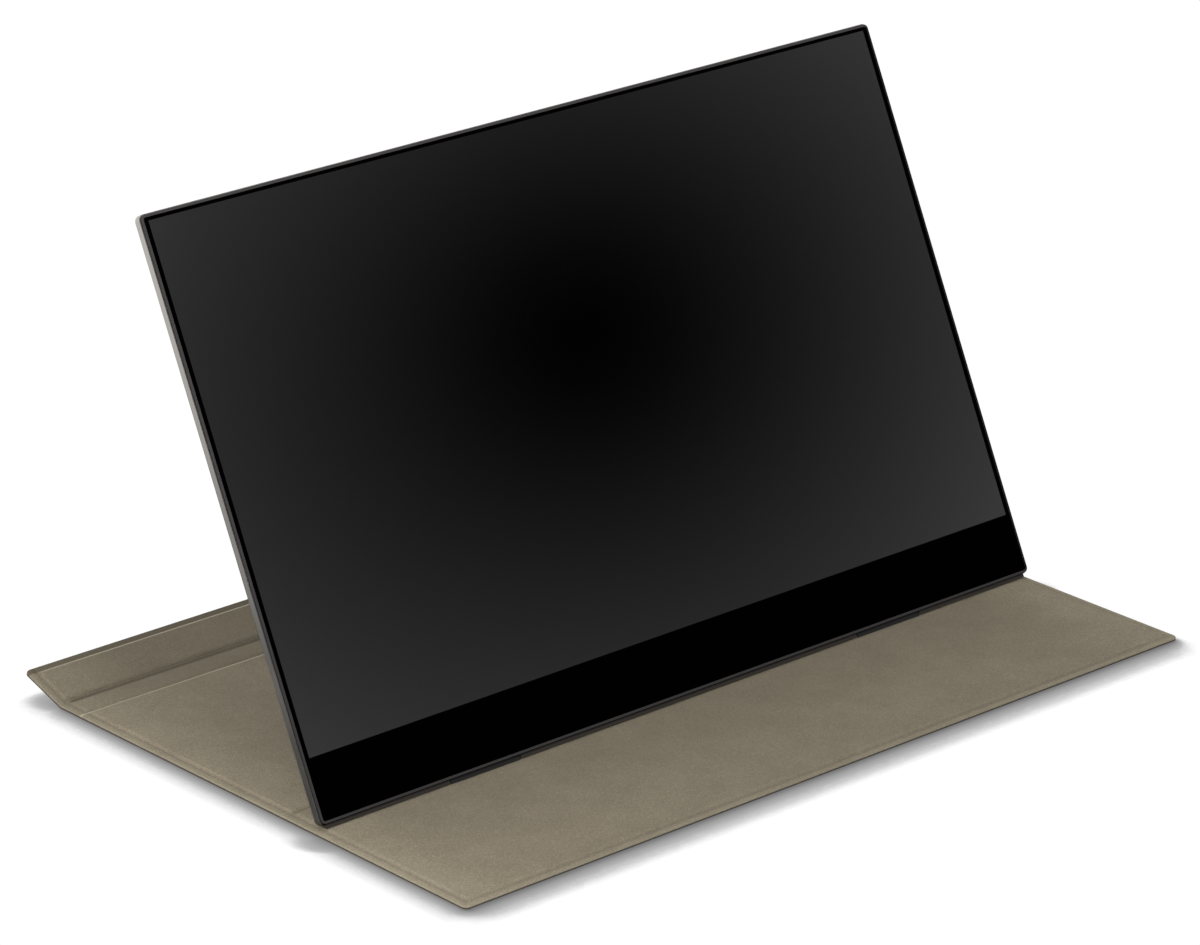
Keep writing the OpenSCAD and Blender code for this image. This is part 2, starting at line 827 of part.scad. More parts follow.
magnet_r = 4;
magnet_t = 1.2;
magnet_drop = 10;
magnet_y = housing_high - magnet_drop - 4 * magnet_r;

module closure_magnets() {
    mid = (stand_w / 2 + inner_x) / 2;
    color([0.7, 0.7, 0.72]) stood() for (side = [-1, 1]) for (end = [-1, 1])
        stud(side * mid + end * 2 * magnet_r, magnet_y, inner_rear - magnet_t, inner_rear, magnet_r);
}

// ---------------------------------------------------------------- circuits

cable_lap = 8;

module board_cable() {
    d0 = panel_board_front + 0.3;
    d1 = circuit_front - cable_t;
    y0 = panel_board_y[1];
    y1 = (cable_slot_y[0] + cable_slot_y[1]) / 2;
    color([0.85, 0.85, 0.8]) stood() along_x(cable_x[0], cable_x[1], [
        [d0, y0], [d0 + cable_t, y0], [d0 + cable_t, y1], [d1 + cable_t, y1],
        [d1 + cable_t, board_y[0] + cable_lap], [d1, board_y[0] + cable_lap], [d1, y1 + cable_t],
        [d0, y1 + cable_t]
    ]);
}

module main_board() {
    color([0.06, 0.3, 0.18]) stood() difference() {
        layer(circuit_front, circuit_back) plate(board_x, board_y);
        for (p = board_studs) stud(p[0], p[1], circuit_front - cut, circuit_back + cut, screw_r + 0.1);
    }
}

chip_x = (board_x[0] + board_x[1]) / 2;
chip_y = (board_y[0] + board_y[1]) / 2 + 1;
chip_w = 17;
chip_t = 1.4;
memory_size = [12, 10];
memory_pitch = 28;
memory_x = chip_x + memory_pitch;
memory_gap = 8;
coil_r = 3.2;
coil_inset = 14;
coil_x = board_x[1] - coil_inset;
coil_pitch = 10;
coil_y = chip_y - coil_pitch;
can_r = 2;
can_pitch = 8;
can_y = board_y[1] - board_edge - 2 * can_r;
plug_size = [16, 4.5];
can_lead = 34;
plug_pitch = 26;
plug_lead = 10;
plug_rise = 5;
dot_size = [1.6, 0.8];
dot_pitch = 4;
dot_lead = 22;
dot_rise = 14;
spreader_rim = [11, 8];

// Chips, coils, capacitors and connectors soldered on the main board.
module board_parts() {
    top = circuit_back + chip_t;
    color([0.08, 0.08, 0.09]) stood() {
        layer(circuit_back, top) translate([chip_x, chip_y]) square(chip_w, center = true);
        for (side = [-1, 1]) layer(circuit_back, top - 0.3)
            translate([memory_x, chip_y + side * (memory_gap + memory_size[1]) / 2])
                square(memory_size, center = true);
        for (i = [-1 : 1])
            stud(coil_x, coil_y + i * coil_pitch, circuit_back, top + 0.8, coil_r);
        for (i = [0 : 3])
            stud(chip_x - can_lead + i * can_pitch, can_y, circuit_back, top + 0.5, can_r);
        for (i = [0, 1]) layer(circuit_back, top)
            translate([chip_x + plug_lead + i * plug_pitch, board_y[0] + plug_rise])
                square(plug_size, center = true);
        for (i = [0 : 7]) for (j = [0 : 2]) layer(circuit_back, circuit_back + 0.5)
            translate([chip_x - dot_lead + i * dot_pitch, board_y[0] + dot_rise + j * dot_pitch])
                square(dot_size, center = true);
    }
}

module heat_spreader() {
    d = circuit_back + chip_t;
    size = [chip_w + 2 * spreader_rim[0], chip_w + 2 * spreader_rim[1]];
    color([0.72, 0.42, 0.25]) stood()
        layer(d, d + 0.4) translate([chip_x, chip_y]) square(size, center = true);
}

module button_board() {
    color([0.06, 0.3, 0.18]) stood() {
        difference() {
            layer(circuit_front, circuit_back) plate(key_board_x, key_board_y);
            for (p = key_studs) stud(p[0], p[1], circuit_front - cut, circuit_back + cut, screw_r + 0.1);
        }
        for (y = [power_y, menu_y]) key_switch(y);
        layer(circuit_back, key_d + light_r) plate(
            [key_board_x[1] - 3, inner_x - 1.4], [light_y - 1.5, light_y + 1.5]);
    }
}

// A side-acting switch, with its plunger just short of the pressed key.
module key_switch(y) {
    face = inner_x - key_flange_t - key_travel - 0.1;
    layer(circuit_back, key_d + 1.2) plate([key_board_x[1] - 4, face - 0.8], [y - 3, y + 3]);
    rod(face - 1.6, face, y, key_d, 0.9);
}

ribbon_w = 8;
ribbon_lap = 8;

module button_ribbon() {
    color([0.85, 0.85, 0.8]) stood() layer(circuit_front - cable_t, circuit_front)
        plate([board_x[1] - ribbon_lap, key_board_x[0] + ribbon_lap], [menu_y - 2 - ribbon_w, menu_y - 2]);
}

module status_light() {
    color([0.85, 0.9, 1]) stood() rod(inner_x - 1.4, housing_x, light_y, key_d, light_r);
}

// ---------------------------------------------------------------- ports

// A socket's shell, open to the left, with the tongue that a plug slides over.
module socket(y, w, h, deep) {
    translate([socket_mouth, y, -circuit_back - h / 2]) rotate([90, 0, 90]) {
        difference() {
            linear_extrude(deep) stadium(w, h);
            translate([0, 0, -cut]) linear_extrude(deep - 1 + cut)
                stadium(w - 2 * shell_t, h - 2 * shell_t);
        }
        translate([0, 0, 1.2]) linear_extrude(deep - 1.2) square([w * 0.72, 0.7], center = true);
    }
}

module usb_sockets() {
    color([0.7, 0.71, 0.73]) stood() for (y = port_y) socket(y, usb_w, usb_h, socket_depth);
}

module video_socket() {
    color([0.7, 0.71, 0.73]) stood() socket(video_y, video_w, video_h, socket_depth);
}

audio_len = 11;

module audio_socket() {
    body = [-inner_x + 0.5, -inner_x + audio_len];
    r = audio_r + 0.45;
    color([0.1, 0.1, 0.1]) stood() difference() {
        union() {
            rod(socket_mouth, body[0] + 0.5, audio_y, audio_d, r);
            layer(circuit_back, audio_d + r) plate(body, [audio_y - 3, audio_y + 3]);
        }
        rod(socket_mouth - cut, body[1] - 1, audio_y, audio_d, audio_r);
    }
}

module speaker(side) {
    x = [for (v = speaker_x) side * v];
    mid = (speaker_x[0] + speaker_x[1]) / 2;
    front = slab_t + 0.6;
    back = inner_rear - mesh_t;
    r = (speaker_y[1] - speaker_y[0]) / 2 - 1.5;
    y = (speaker_y[0] + speaker_y[1]) / 2;
    color([0.09, 0.09, 0.1]) stood() difference() {
        layer(front, back) plate([min(x), max(x)], speaker_y);
        stud(side * mid, y, back - 1.5, back + cut, r);
    }
    color([0.2, 0.2, 0.2]) stood() stud(side * mid, y, back - 1.6, back - 0.5, r * 0.6);
}

module speaker_left() {
    speaker(-1);
}

module speaker_right() {
    speaker(1);
}

module speaker_mesh() {
    color([0.15, 0.15, 0.15]) stood() for (side = [-1, 1])
        layer(inner_rear - mesh_t, inner_rear)
            plate([min(side * speaker_x), max(side * speaker_x)], speaker_y);
}

// ---------------------------------------------------------------- keys

// Each key has a cap in its hole and a flange that stops it behind the wall.
module power_button() {
    color([0.3, 0.3, 0.31]) stood() translate([inner_x, power_y, -key_d]) rotate([90, 0, 90]) {
        linear_extrude(wall + key_proud) stadium(key_len, key_w);
        translate([0, 0, -key_flange_t]) linear_extrude(key_flange_t)
            stadium(key_len + 1.6, key_w + 1);
    }
}

module menu_button() {
    color([0.3, 0.3, 0.31]) stood() {
        rod(inner_x, housing_x + key_proud, menu_y, key_d, menu_r);
        rod(inner_x - key_flange_t, inner_x, menu_y, key_d, menu_r + 0.5);
    }
}

// ---------------------------------------------------------------- hinge

module hinge_bracket(side) {
    x = side * hinge_x;
    ear_x = barrel_len / 2 + side_gap;
    base = pocket_floor + 0.7;
    color([0.5, 0.5, 0.52]) stood() difference() {
        union() {
            layer(pocket_floor, base)
                plate([x - bracket_half, x + bracket_half], [hinge_y - barrel_r - 2, recess_top - side_gap]);
            for (end = [-1, 1]) {
                x0 = x + (end > 0 ? ear_x : -ear_x - ear_t);
                rod(x0, x0 + ear_t, hinge_y, hinge_d, barrel_r);
                layer(pocket_floor, hinge_d)
                    plate([x0, x0 + ear_t], [hinge_y - barrel_r, hinge_y + barrel_r]);
            }
        }
        rod(x - ear_x - ear_t - cut, x + ear_x + ear_t + cut, hinge_y, hinge_d, pin_r);
        for (end = [-1, 1])
            stud(x + end * hinge_screw_x, hinge_y, pocket_floor - cut, base + cut, screw_r + 0.1);
    }
}

module hinge_bracket_left() {
    hinge_bracket(-1);
}

module hinge_bracket_right() {
    hinge_bracket(1);
}

module hinge_pins() {
    half = barrel_len / 2 + side_gap + ear_t;
    color([0.8, 0.8, 0.8]) stood() for (side = [-1, 1])
        rod(side * hinge_x - half, side * hinge_x + half, hinge_y, hinge_d, pin_r);
}

module hinge_screws() {
    color([0.75, 0.75, 0.72]) stood() for (side = [-1, 1]) for (end = [-1, 1])
        screw(side * hinge_x + end * hinge_screw_x, hinge_y, pocket_floor - wall + 0.4,
            pocket_floor + 0.7, 1.7);
}

// ---------------------------------------------------------------- kickstand

// Turns a piece drawn in the folded position out to where it stands.
module opened() {
    stood() translate([0, hinge_y, -hinge_d]) rotate([recline, 0, 0])
        translate([0, -hinge_y, hinge_d]) children();
}

stand_corner = 8;

// The hinge leaf's outline, let into the plate, drawn out by extra.
module leaf(side, extra, top) {
    x = side * hinge_x;
    half = barrel_len / 2 + extra;
    plate([x - half, x + half], [stand_top - leaf_h - extra, top]);
}

module rivets(r, back) {
    for (side = [-1, 1]) for (end = [-1, 1])
        stud(side * hinge_x + end * barrel_len / 4, stand_top - leaf_h / 2, stand_front, back, r);
}

module kickstand_plate() {
    color([0.14, 0.14, 0.15]) opened() difference() {
        layer(stand_front, stand_front + stand_t)
            sheet(stand_low, stand_top, stand_w, stand_corner, 1);
        for (side = [-1, 1])
            layer(stand_front - cut, stand_front + leaf_t) leaf(side, 0.05, stand_top + cut);
        rivets(rivet_r, stand_front + stand_t + cut);
    }
}

module kickstand_knuckles() {
    color([0.5, 0.5, 0.52]) opened() difference() {
        union() {
            for (side = [-1, 1]) {
                x = side * hinge_x;
                rod(x - barrel_len / 2, x + barrel_len / 2, hinge_y, hinge_d, barrel_r);
                layer(stand_front, stand_front + leaf_t) leaf(side, 0, hinge_y);
            }
            rivets(rivet_r, stand_front + stand_t - 0.2);
        }
        for (side = [-1, 1]) {
            x = side * hinge_x;
            rod(x - barrel_len, x + barrel_len, hinge_y, hinge_d, pin_r + pin_gap);
        }
    }
}

module kickstand_foot() {
    mid = stand_front + stand_t / 2;
    tip = hinge_y - stand_reach;
    half = stand_w / 2 - stand_corner - 2;
    color([0.05, 0.05, 0.05]) opened() {
        rod(-half, half, tip + stand_foot_r, mid, stand_foot_r);
        layer(mid - stand_foot_r, mid + stand_foot_r)
            plate([-half, half], [tip + stand_foot_r, tip + stand_foot_h]);
    }
}

// ---------------------------------------------------------------- nodes

front_outer_skin();
front_board();
front_lining();
front_magnets();
mid_outer_skin();
mid_board();
mid_lining();
spine_outer_skin();
spine_board();
spine_lining();
rear_outer_skin();
rear_board();
rear_lining();
rear_magnets();
mid_crease();
spine_crease();
rear_crease();
cover_glass();
mid_frame();
side_frame();
optical_adhesive();
lcd_cell();
film_stack();
light_guide();
reflector_sheet();
backlight_tray();
led_bar();
panel_board();
panel_flex();
rear_cover();
base_housing();
board_cable();
main_board();
board_parts();
heat_spreader();
usb_sockets();
video_socket();
audio_socket();
speaker_left();
speaker_right();
speaker_mesh();
button_board();
button_ribbon();
status_light();
heel_strip();
foot_left();
foot_right();
hinge_bracket_left();
hinge_bracket_right();
hinge_pins();
hinge_screws();
housing_screws();
board_screws();
closure_magnets();
power_button();
menu_button();
kickstand_plate();
kickstand_knuckles();
kickstand_foot();
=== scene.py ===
"""A portable monitor standing on its opened folio cover: looks, light and camera.

Every length is in metres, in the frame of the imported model.
"""

import logging
import math
from dataclasses import dataclass
from enum import Enum
from typing import Callable, ClassVar, Optional, Sequence, Union

import bmesh
import bpy
from mathutils import Matrix, Vector


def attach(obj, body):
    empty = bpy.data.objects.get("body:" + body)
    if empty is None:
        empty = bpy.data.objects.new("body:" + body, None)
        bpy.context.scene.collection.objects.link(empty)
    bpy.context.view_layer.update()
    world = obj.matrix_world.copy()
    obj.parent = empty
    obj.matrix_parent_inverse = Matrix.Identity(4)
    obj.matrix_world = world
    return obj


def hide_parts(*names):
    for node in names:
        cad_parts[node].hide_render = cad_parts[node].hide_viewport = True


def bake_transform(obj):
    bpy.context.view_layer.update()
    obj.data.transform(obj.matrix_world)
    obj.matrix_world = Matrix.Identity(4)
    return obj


Colour = tuple[float, float, float, float]
Loop = list[bmesh.types.BMVert]

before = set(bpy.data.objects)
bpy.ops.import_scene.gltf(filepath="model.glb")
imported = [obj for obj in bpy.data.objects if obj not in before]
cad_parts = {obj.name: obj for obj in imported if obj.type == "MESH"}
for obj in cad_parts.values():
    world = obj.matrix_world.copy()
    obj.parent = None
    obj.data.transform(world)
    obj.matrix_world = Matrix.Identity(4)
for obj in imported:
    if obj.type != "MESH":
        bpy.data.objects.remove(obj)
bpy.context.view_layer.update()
log = logging.getLogger("portable_monitor")

MM = 0.001
WELD = 1e-7  # vertices nearer than this are one


def rgb(red: int, green: int, blue: int) -> Colour:
    """Turns display levels into the linear colour that a shader takes.

    Args:
        red: The red level, 0 to 255.
        green: The green level, 0 to 255.
        blue: The blue level, 0 to 255.

    Returns:
        The linear colour, with an alpha of 1.
    """
    def linear(level: int) -> float:
        """Undoes the display curve for one level."""
        share = level / 255
        return share / 12.92 if share <= 0.04045 else ((share + 0.055) / 1.055) ** 2.4

    return linear(red), linear(green), linear(blue), 1.0


# ------------------------------------------------------------ shader maths


class Value:
    """A socket that carries a number, with the usual operators."""

    def __init__(self, shade: "Shade", socket: bpy.types.NodeSocket) -> None:
        """Keeps the socket and the shade that it belongs to."""
        self.shade = shade
        self.socket = socket

    def _math(self, operation: str, *terms: Union["Value", float]) -> "Value":
        """Adds one Math node over the terms."""
        return self.shade.math(operation, *terms)

    def __add__(self, other: Union["Value", float]) -> "Value":
        """Adds."""
        return self._math("ADD", self, other)

    __radd__ = __add__

    def __sub__(self, other: Union["Value", float]) -> "Value":
        """Subtracts."""
        return self._math("SUBTRACT", self, other)

    def __rsub__(self, other: float) -> "Value":
        """Subtracts from a plain number."""
        return self._math("SUBTRACT", other, self)

    def __mul__(self, other: Union["Value", float]) -> "Value":
        """Multiplies."""
        return self._math("MULTIPLY", self, other)

    __rmul__ = __mul__

    def __truediv__(self, other: Union["Value", float]) -> "Value":
        """Divides."""
        return self._math("DIVIDE", self, other)

    def __rtruediv__(self, other: float) -> "Value":
        """Divides a plain number."""
        return self._math("DIVIDE", other, self)

    def __pow__(self, other: Union["Value", float]) -> "Value":
        """Raises to a power."""
        return self._math("POWER", self, other)

    def __abs__(self) -> "Value":
        """Drops the sign."""
        return self._math("ABSOLUTE", self)

    def step(self, low: float, high: float) -> "Value":
        """Rises smoothly from 0 at low to 1 at high.

        Args:
            low: The number at which the step starts.
            high: The number at which the step ends.

        Returns:
            The step, from 0 to 1.
        """
        node = self.shade.node(
            "ShaderNodeMapRange", {"interpolation_type": "SMOOTHSTEP", "clamp": True},
            {"Value": self, "From Min": low, "From Max": high})
        return self.shade.value(node, "Result")


class Shade:
    """One material's node tree, written as expressions."""

    def __init__(self, owner: Union[bpy.types.Material, bpy.types.World]) -> None:
        """Opens the node tree of a material or a world.

        Args:
            owner: The material or world whose nodes are written.
        """
        owner.use_nodes = True
        self.owner = owner
        self.tree = owner.node_tree

    def own(self, kind: str) -> bpy.types.Node:
        """Finds a node that the tree was born with."""
        return next(node for node in self.tree.nodes if node.type == kind)

    def node(self, kind: str, settings: Optional[dict] = None,
             sockets: Optional[dict] = None) -> bpy.types.Node:
        """Adds a node, its settings first and its sockets after them.

        Args:
            kind: The node's type.
            settings: Attribute values, such as a Math node's operation.
            sockets: Values, or links, by the socket's name or number.

        Returns:
            The new node.
        """
        node = self.tree.nodes.new(kind)
        for key, value in (settings or {}).items():
            setattr(node, key, value)
        for key, value in (sockets or {}).items():
            self.feed(node.inputs[key], value)
        return node

    def feed(self, socket: bpy.types.NodeSocket, value: object) -> None:
        """Links or sets one input socket.

        Args:
            socket: The input.
            value: A Value, a socket or a plain value.
        """
        if isinstance(value, Value):
            value = value.socket
        if isinstance(value, bpy.types.NodeSocket):
            self.tree.links.new(value, socket)
        else:
            socket.default_value = value

    def value(self, node: bpy.types.Node, output: Union[str, int] = 0) -> Value:
        """Wraps one output of a node."""
        return Value(self, node.outputs[output])

    def math(self, operation: str, *terms: Union[Value, float]) -> Value:
        """Adds a Math node over one, two or three terms."""
        node = self.node("ShaderNodeMath", {"operation": operation},
                         dict(enumerate(terms)))
        return self.value(node)

    def place(self, centre: Sequence[float] = (0, 0, 0),
              turn: Sequence[float] = (0, 0, 0),
              size: Sequence[float] = (1, 1, 1)) -> bpy.types.NodeSocket:
        """Gives object coordinates, seen from a centred and turned frame.

        Args:
            centre: The frame's origin.
            turn: The frame's turn in radians, about X, Y and Z.
            size: The length that counts as one, along each axis.

        Returns:
            The vector socket.
        """
        coordinates = self.node("ShaderNodeTexCoord").outputs["Object"]
        return self.node(
            "ShaderNodeMapping", {"vector_type": "TEXTURE"},
            {"Vector": coordinates, "Location": centre, "Rotation": turn,
             "Scale": size}).outputs["Vector"]

    def split(self, vector: bpy.types.NodeSocket) -> tuple[Value, Value, Value]:
        """Takes a vector apart into its three numbers."""
        node = self.node("ShaderNodeSeparateXYZ", None, {"Vector": vector})
        return self.value(node, 0), self.value(node, 1), self.value(node, 2)

    def noise(self, vector: bpy.types.NodeSocket, scale: float, detail: float = 2,
              roughness: float = 0.5) -> Value:
        """Soft noise around a half.

        Args:
            vector: Where the noise is read.
            scale: Its cells per metre.
            detail: How many finer octaves are added.
            roughness: How strong the finer octaves are.

        Returns:
            The noise, from 0 to 1.
        """
        return self.value(self.node(
            "ShaderNodeTexNoise", None,
            {"Vector": vector, "Scale": scale, "Detail": detail,
             "Roughness": roughness}), "Fac")

    def cells(self, vector: bpy.types.NodeSocket, scale: float,
              feature: str = "F1") -> Value:
        """The distance pattern of scattered cells."""
        return self.value(self.node(
            "ShaderNodeTexVoronoi", {"feature": feature},
            {"Vector": vector, "Scale": scale}), "Distance")

    def mix(self, share: Union[Value, float], low: object,
            high: object) -> bpy.types.NodeSocket:
        """Mixes two colours.

        Args:
            share: How much of the high colour shows.
            low: The colour at 0, plain or linked.
            high: The colour at 1, plain or linked.

        Returns:
            The mixed colour's socket.
        """
        node = self.node("ShaderNodeMix", {"data_type": "RGBA"})
        self.feed(node.inputs["Factor"], share)
        self.feed(node.inputs[6], low)
        self.feed(node.inputs[7], high)
        return node.outputs[2]

    def bump(self, height: Value, distance: float, strength: float = 1.0) -> None:
        """Roughens the surface by a height pattern.

        Args:
            height: The pattern, from 0 to 1.
            distance: The real height of the pattern, in metres.
            strength: How much of it shows.
        """
        node = self.node("ShaderNodeBump", None,
                         {"Height": height, "Distance": distance, "Strength": strength})
        self.set(Normal=node.outputs["Normal"])

    def set(self, **sockets: object) -> None:
        """Sets the shader's sockets; an underscore stands for a space."""
        shader = self.own("BSDF_PRINCIPLED")
        for key, value in sockets.items():
            self.feed(shader.inputs[key.replace("_", " ")], value)


# ---------------------------------------------------------------- finishes


class Finish:
    """A material that is made once and shared by its pieces."""

    name: str
    made: ClassVar[dict[str, bpy.types.Material]] = {}

    def dress(self, shade: Shade) -> None:
        """Writes the material's nodes into an empty shade."""
        raise NotImplementedError

    def material(self) -> bpy.types.Material:
        """Gives the finished material, made at the first call.

        Returns:
            The material that all pieces of this finish share.
        """
        if self.name not in Finish.made:
            made = bpy.data.materials.new(f"{self.name}_finish")
            self.dress(Shade(made))
            Finish.made[self.name] = made
        return Finish.made[self.name]

    def onto(self, *objects: bpy.types.Object) -> None:
        """Gives the material to every slot of the objects.

        Args:
            objects: The pieces to dress.
        """
        made = self.material()
        for obj in objects:
            if not obj.material_slots:
                obj.data.materials.append(made)
            for slot in obj.material_slots:
                slot.material = made


@dataclass(frozen=True)
class Suede(Finish):
    """Brushed microfibre: faint blotches, a short nap and pale fibre tips.

    Painted shade darkens the cloth from its left and right hems to the middle,
    towards its right and on the rear.
    A painted highlight runs pale along the hem, the spine fold and the rear field's crest,
    and painted shade lies dark beside the hem, in the rear groove and on the rear margin.
    """

    name: str
    shade_dark: Colour
    shade_mid: Colour
    pale_tip_and_highlight: Colour
    painted_shade_colour: Colour
    nap: float = 1700.0
    nap_height: float = 0.00009
    half_width: float = 176 * MM
    front_edge: float = -124.26 * MM
    spine_ridge: float = 90.04 * MM
    rear_groove: float = 102.3 * MM
    rear_crest: float = 120.8 * MM
    # places and widths of the painted highlight lines, the painted shade lines and the
    # painted shade's fades
    crest_inset: float = 0.4 * MM
    crest_fade: float = 0.6 * MM
    line_half: float = 0.5 * MM
    line_soft: float = 0.6 * MM
    groove_half: float = 1.3 * MM
    hem_line: float = 2.8 * MM
    hem_line_half: float = 0.6 * MM
    dark_soft: float = 1.2 * MM
    highlight_hem: tuple[float, float] = (1.0 * MM, 2.2 * MM)
    hem_end: tuple[float, float] = (3.5 * MM, 6 * MM)
    spine_fade: float = 4 * MM
    side_fade: float = 40 * MM
    front_fade: tuple[float, float] = (20 * MM, 70 * MM)
    right_fade: tuple[float, float] = (-170 * MM, 20 * MM)

    def line(self, along: Value, place: float, half: float, soft: float) -> Value:
        """A soft line across the cover.

        Args:
            along: The place along the cover.
            place: Where the line's middle lies.
            half: Half its width.
            soft: The width of each soft edge.

        Returns:
            1 on the line, 0 away from it.
        """
        return 1 - abs(along - place).step(half - soft / 2, half + soft / 2)

    def dress(self, shade: Shade) -> None:
        """Writes the nap, its blotches and its tips, then painted shade and painted
        highlight lines.
        """
        where = shade.place()
        across, along, _ = shade.split(where)
        blotch = shade.noise(where, 60, 3, 0.6)
        mottle = shade.noise(where, 420, 2, 0.6)
        nap = shade.noise(where, self.nap, 1, 0.6)
        tips = shade.cells(where, 1100)
        tone = (blotch.step(0.25, 0.75) * 0.3 + mottle.step(0.3, 0.7) * 0.15
                + nap.step(0.3, 0.7) * 0.55)
        ground = shade.mix(tone, self.shade_dark, self.shade_mid)
        pale = nap.step(0.55, 0.78) * 0.55 + (1 - tips.step(0.0, 0.3)) * 0.45
        cloth = shade.mix(pale * 0.42, ground, self.pale_tip_and_highlight)
        side, front = self.half_width - abs(across), along - self.front_edge
        hem = shade.math("MINIMUM", side, front)
        inside = side.step(*self.hem_end)
        # painted highlight: pale lines along the hem, the spine fold and the rear crest,
        # where light catches the edges
        painted_highlight = (self.line(along, self.spine_ridge, self.line_half, self.line_soft)
                + self.line(along, self.rear_crest - self.crest_inset, self.line_half,
                            self.line_soft) * inside
                + (1 - hem.step(*self.highlight_hem)) * 0.14)
        # painted shade: dark lines in the rear groove, beside the hem and on the rear margin
        painted_line_shade = (self.line(along, self.rear_groove, self.groove_half, self.dark_soft) * inside
                + self.line(hem, self.hem_line, self.hem_line_half, self.dark_soft) * 0.3
                + along.step(self.rear_crest, self.rear_crest + self.crest_fade) * 0.9)
        # painted shade: the cloth darker towards the middle, the right and the rear, where
        # the monitor shades it
        under = (side.step(0, self.side_fade) * (0.22 + front.step(*self.front_fade) * 0.12)
                 + across.step(*self.right_fade) * 0.12
                 + along.step(self.spine_ridge - self.spine_fade,
                              self.spine_ridge + self.spine_fade) * 0.18)
        cloth = shade.mix(under, cloth, self.painted_shade_colour)
        cloth = shade.mix(painted_highlight * 0.6, cloth, self.pale_tip_and_highlight)
        shade.set(Base_Color=shade.mix(painted_line_shade * 0.75, cloth, self.painted_shade_colour),
                  Roughness=0.94 - nap * 0.08, Specular_IOR_Level=0.15,
                  Sheen_Weight=0.12, Sheen_Roughness=0.45,
                  Sheen_Tint=self.pale_tip_and_highlight)
        shade.bump(nap * 0.7 + mottle * 0.3, self.nap_height, 0.5)


@dataclass(frozen=True)
class Leatherette(Finish):
    """A thin coated cloth with a fine pebble grain."""

    name: str
    ground: Colour
    crest: Colour
    grain: float = 1300.0

    def dress(self, shade: Shade) -> None:
        """Writes the pebbles and the darker valleys between them."""
        where = shade.place()
        pebble = shade.cells(where, self.grain, "SMOOTH_F1")
        soft = shade.noise(where, 60, 3)
        shade.set(Base_Color=shade.mix(pebble.step(0.1, 0.7) * 0.6 + soft * 0.3,
                                       self.crest, self.ground),
                  Roughness=0.5 + pebble * 0.25 + soft * 0.1)
        shade.bump(1 - pebble.step(0.0, 0.8), 0.00008, 0.7)


@dataclass(frozen=True)
class SatinMetal(Finish):
    """Blasted or brushed metal; stretch draws the grain out along an axis."""

    name: str
    ground: Colour
    crest: Colour
    roughness: float = 0.32
    grain: float = 2600.0
    stretch: tuple[float, float, float] = (1, 1, 1)
    relief: float = 0.000006

    def dress(self, shade: Shade) -> None:
        """Writes the grain and slight handling marks."""
        grain = shade.noise(shade.place(size=self.stretch), self.grain, 3, 0.6)
        marks = shade.noise(shade.place(), 45, 4, 0.6)
        metal = shade.mix(grain * 0.7 + marks * 0.3, self.ground, self.crest)
        shade.set(Base_Color=self.with_painted_shade(shade, metal), Metallic=1.0,
                  Roughness=self.roughness + grain * 0.08 + marks.step(0.35, 0.8) * 0.06)
        shade.bump(grain, self.relief, 0.6)

    def with_painted_shade(self, shade: Shade, metal: bpy.types.NodeSocket) -> bpy.types.NodeSocket:
        """Leaves the metal's colour as it is, with no painted shade."""
        return metal


@dataclass(frozen=True)
class Moulded(Finish):
    """Moulded plastic or rubber with a spark-eroded texture."""

    name: str
    ground: Colour
    crest: Colour
    roughness: float = 0.55
    grain: float = 1800.0
    relief: float = 0.00002

    def dress(self, shade: Shade) -> None:
        """Writes the texture's pits and a faint unevenness of the sheen."""
        where = shade.place()
        pits = shade.noise(where, self.grain, 2, 0.6)
        cloud = shade.noise(where, 55, 3)
        shade.set(Base_Color=shade.mix(pits * 0.6 + cloud * 0.4, self.ground, self.crest),
                  Specular_IOR_Level=0.35,
                  Roughness=self.roughness + pits * 0.1 + cloud * 0.06)
        shade.bump(pits, self.relief, 0.7)


@dataclass(frozen=True)
class Fibreboard(Finish):
    """Pressed board with visible fibres."""

    name: str
    ground: Colour
    fibre: Colour

    def dress(self, shade: Shade) -> None:
        """Writes short fibres in two directions."""
        one = shade.noise(shade.place(size=(6, 1, 1)), 900, 3)
        two = shade.noise(shade.place(size=(1, 6, 1)), 900, 3)
        fibres = (one * two).step(0.12, 0.4)
        shade.set(Base_Color=shade.mix(fibres, self.ground, self.fibre), Roughness=0.85)
        shade.bump(fibres, 0.00005, 0.6)


@dataclass(frozen=True)
class ScreenFrame:
    """Where the screen plane stands: X across, Y up the screen, Z to the viewer."""

    foot: tuple[float, float, float] = (0.0, -47.26 * MM, 4.38859 * MM)
    recline: float = math.radians(25.4)
    width: float = 350.5 * MM
    height: float = 219.9 * MM
    picture_width: float = 344.2 * MM
    picture_height: float = 193.6 * MM
    chin: float = 23.7 * MM

    @property
    def turn(self) -> tuple[float, float, float]:
        """The plane's turn about X, Y and Z."""
        return math.pi / 2 - self.recline, 0.0, 0.0

    def seen(self, shade: Shade) -> bpy.types.NodeSocket:
        """Object coordinates measured on the screen plane."""
        return shade.place(self.foot, self.turn)


SCREEN = ScreenFrame()


@dataclass(frozen=True)
class SideMetal(SatinMetal):
    """The side frame's metal, with painted shade along its lower edge."""

    # the painted shade's colour and where it fades out
    heel: Colour = (0.01, 0.009, 0.008, 1.0)
    heel_fade: tuple[float, float] = (0.3 * MM, 1.6 * MM)

    def with_painted_shade(self, shade: Shade, metal: bpy.types.NodeSocket) -> bpy.types.NodeSocket:
        """Paints shade onto the metal towards the lower edge."""
        _, up, _ = shade.split(SCREEN.seen(shade))
        return shade.mix(up.step(*self.heel_fade), self.heel, metal)


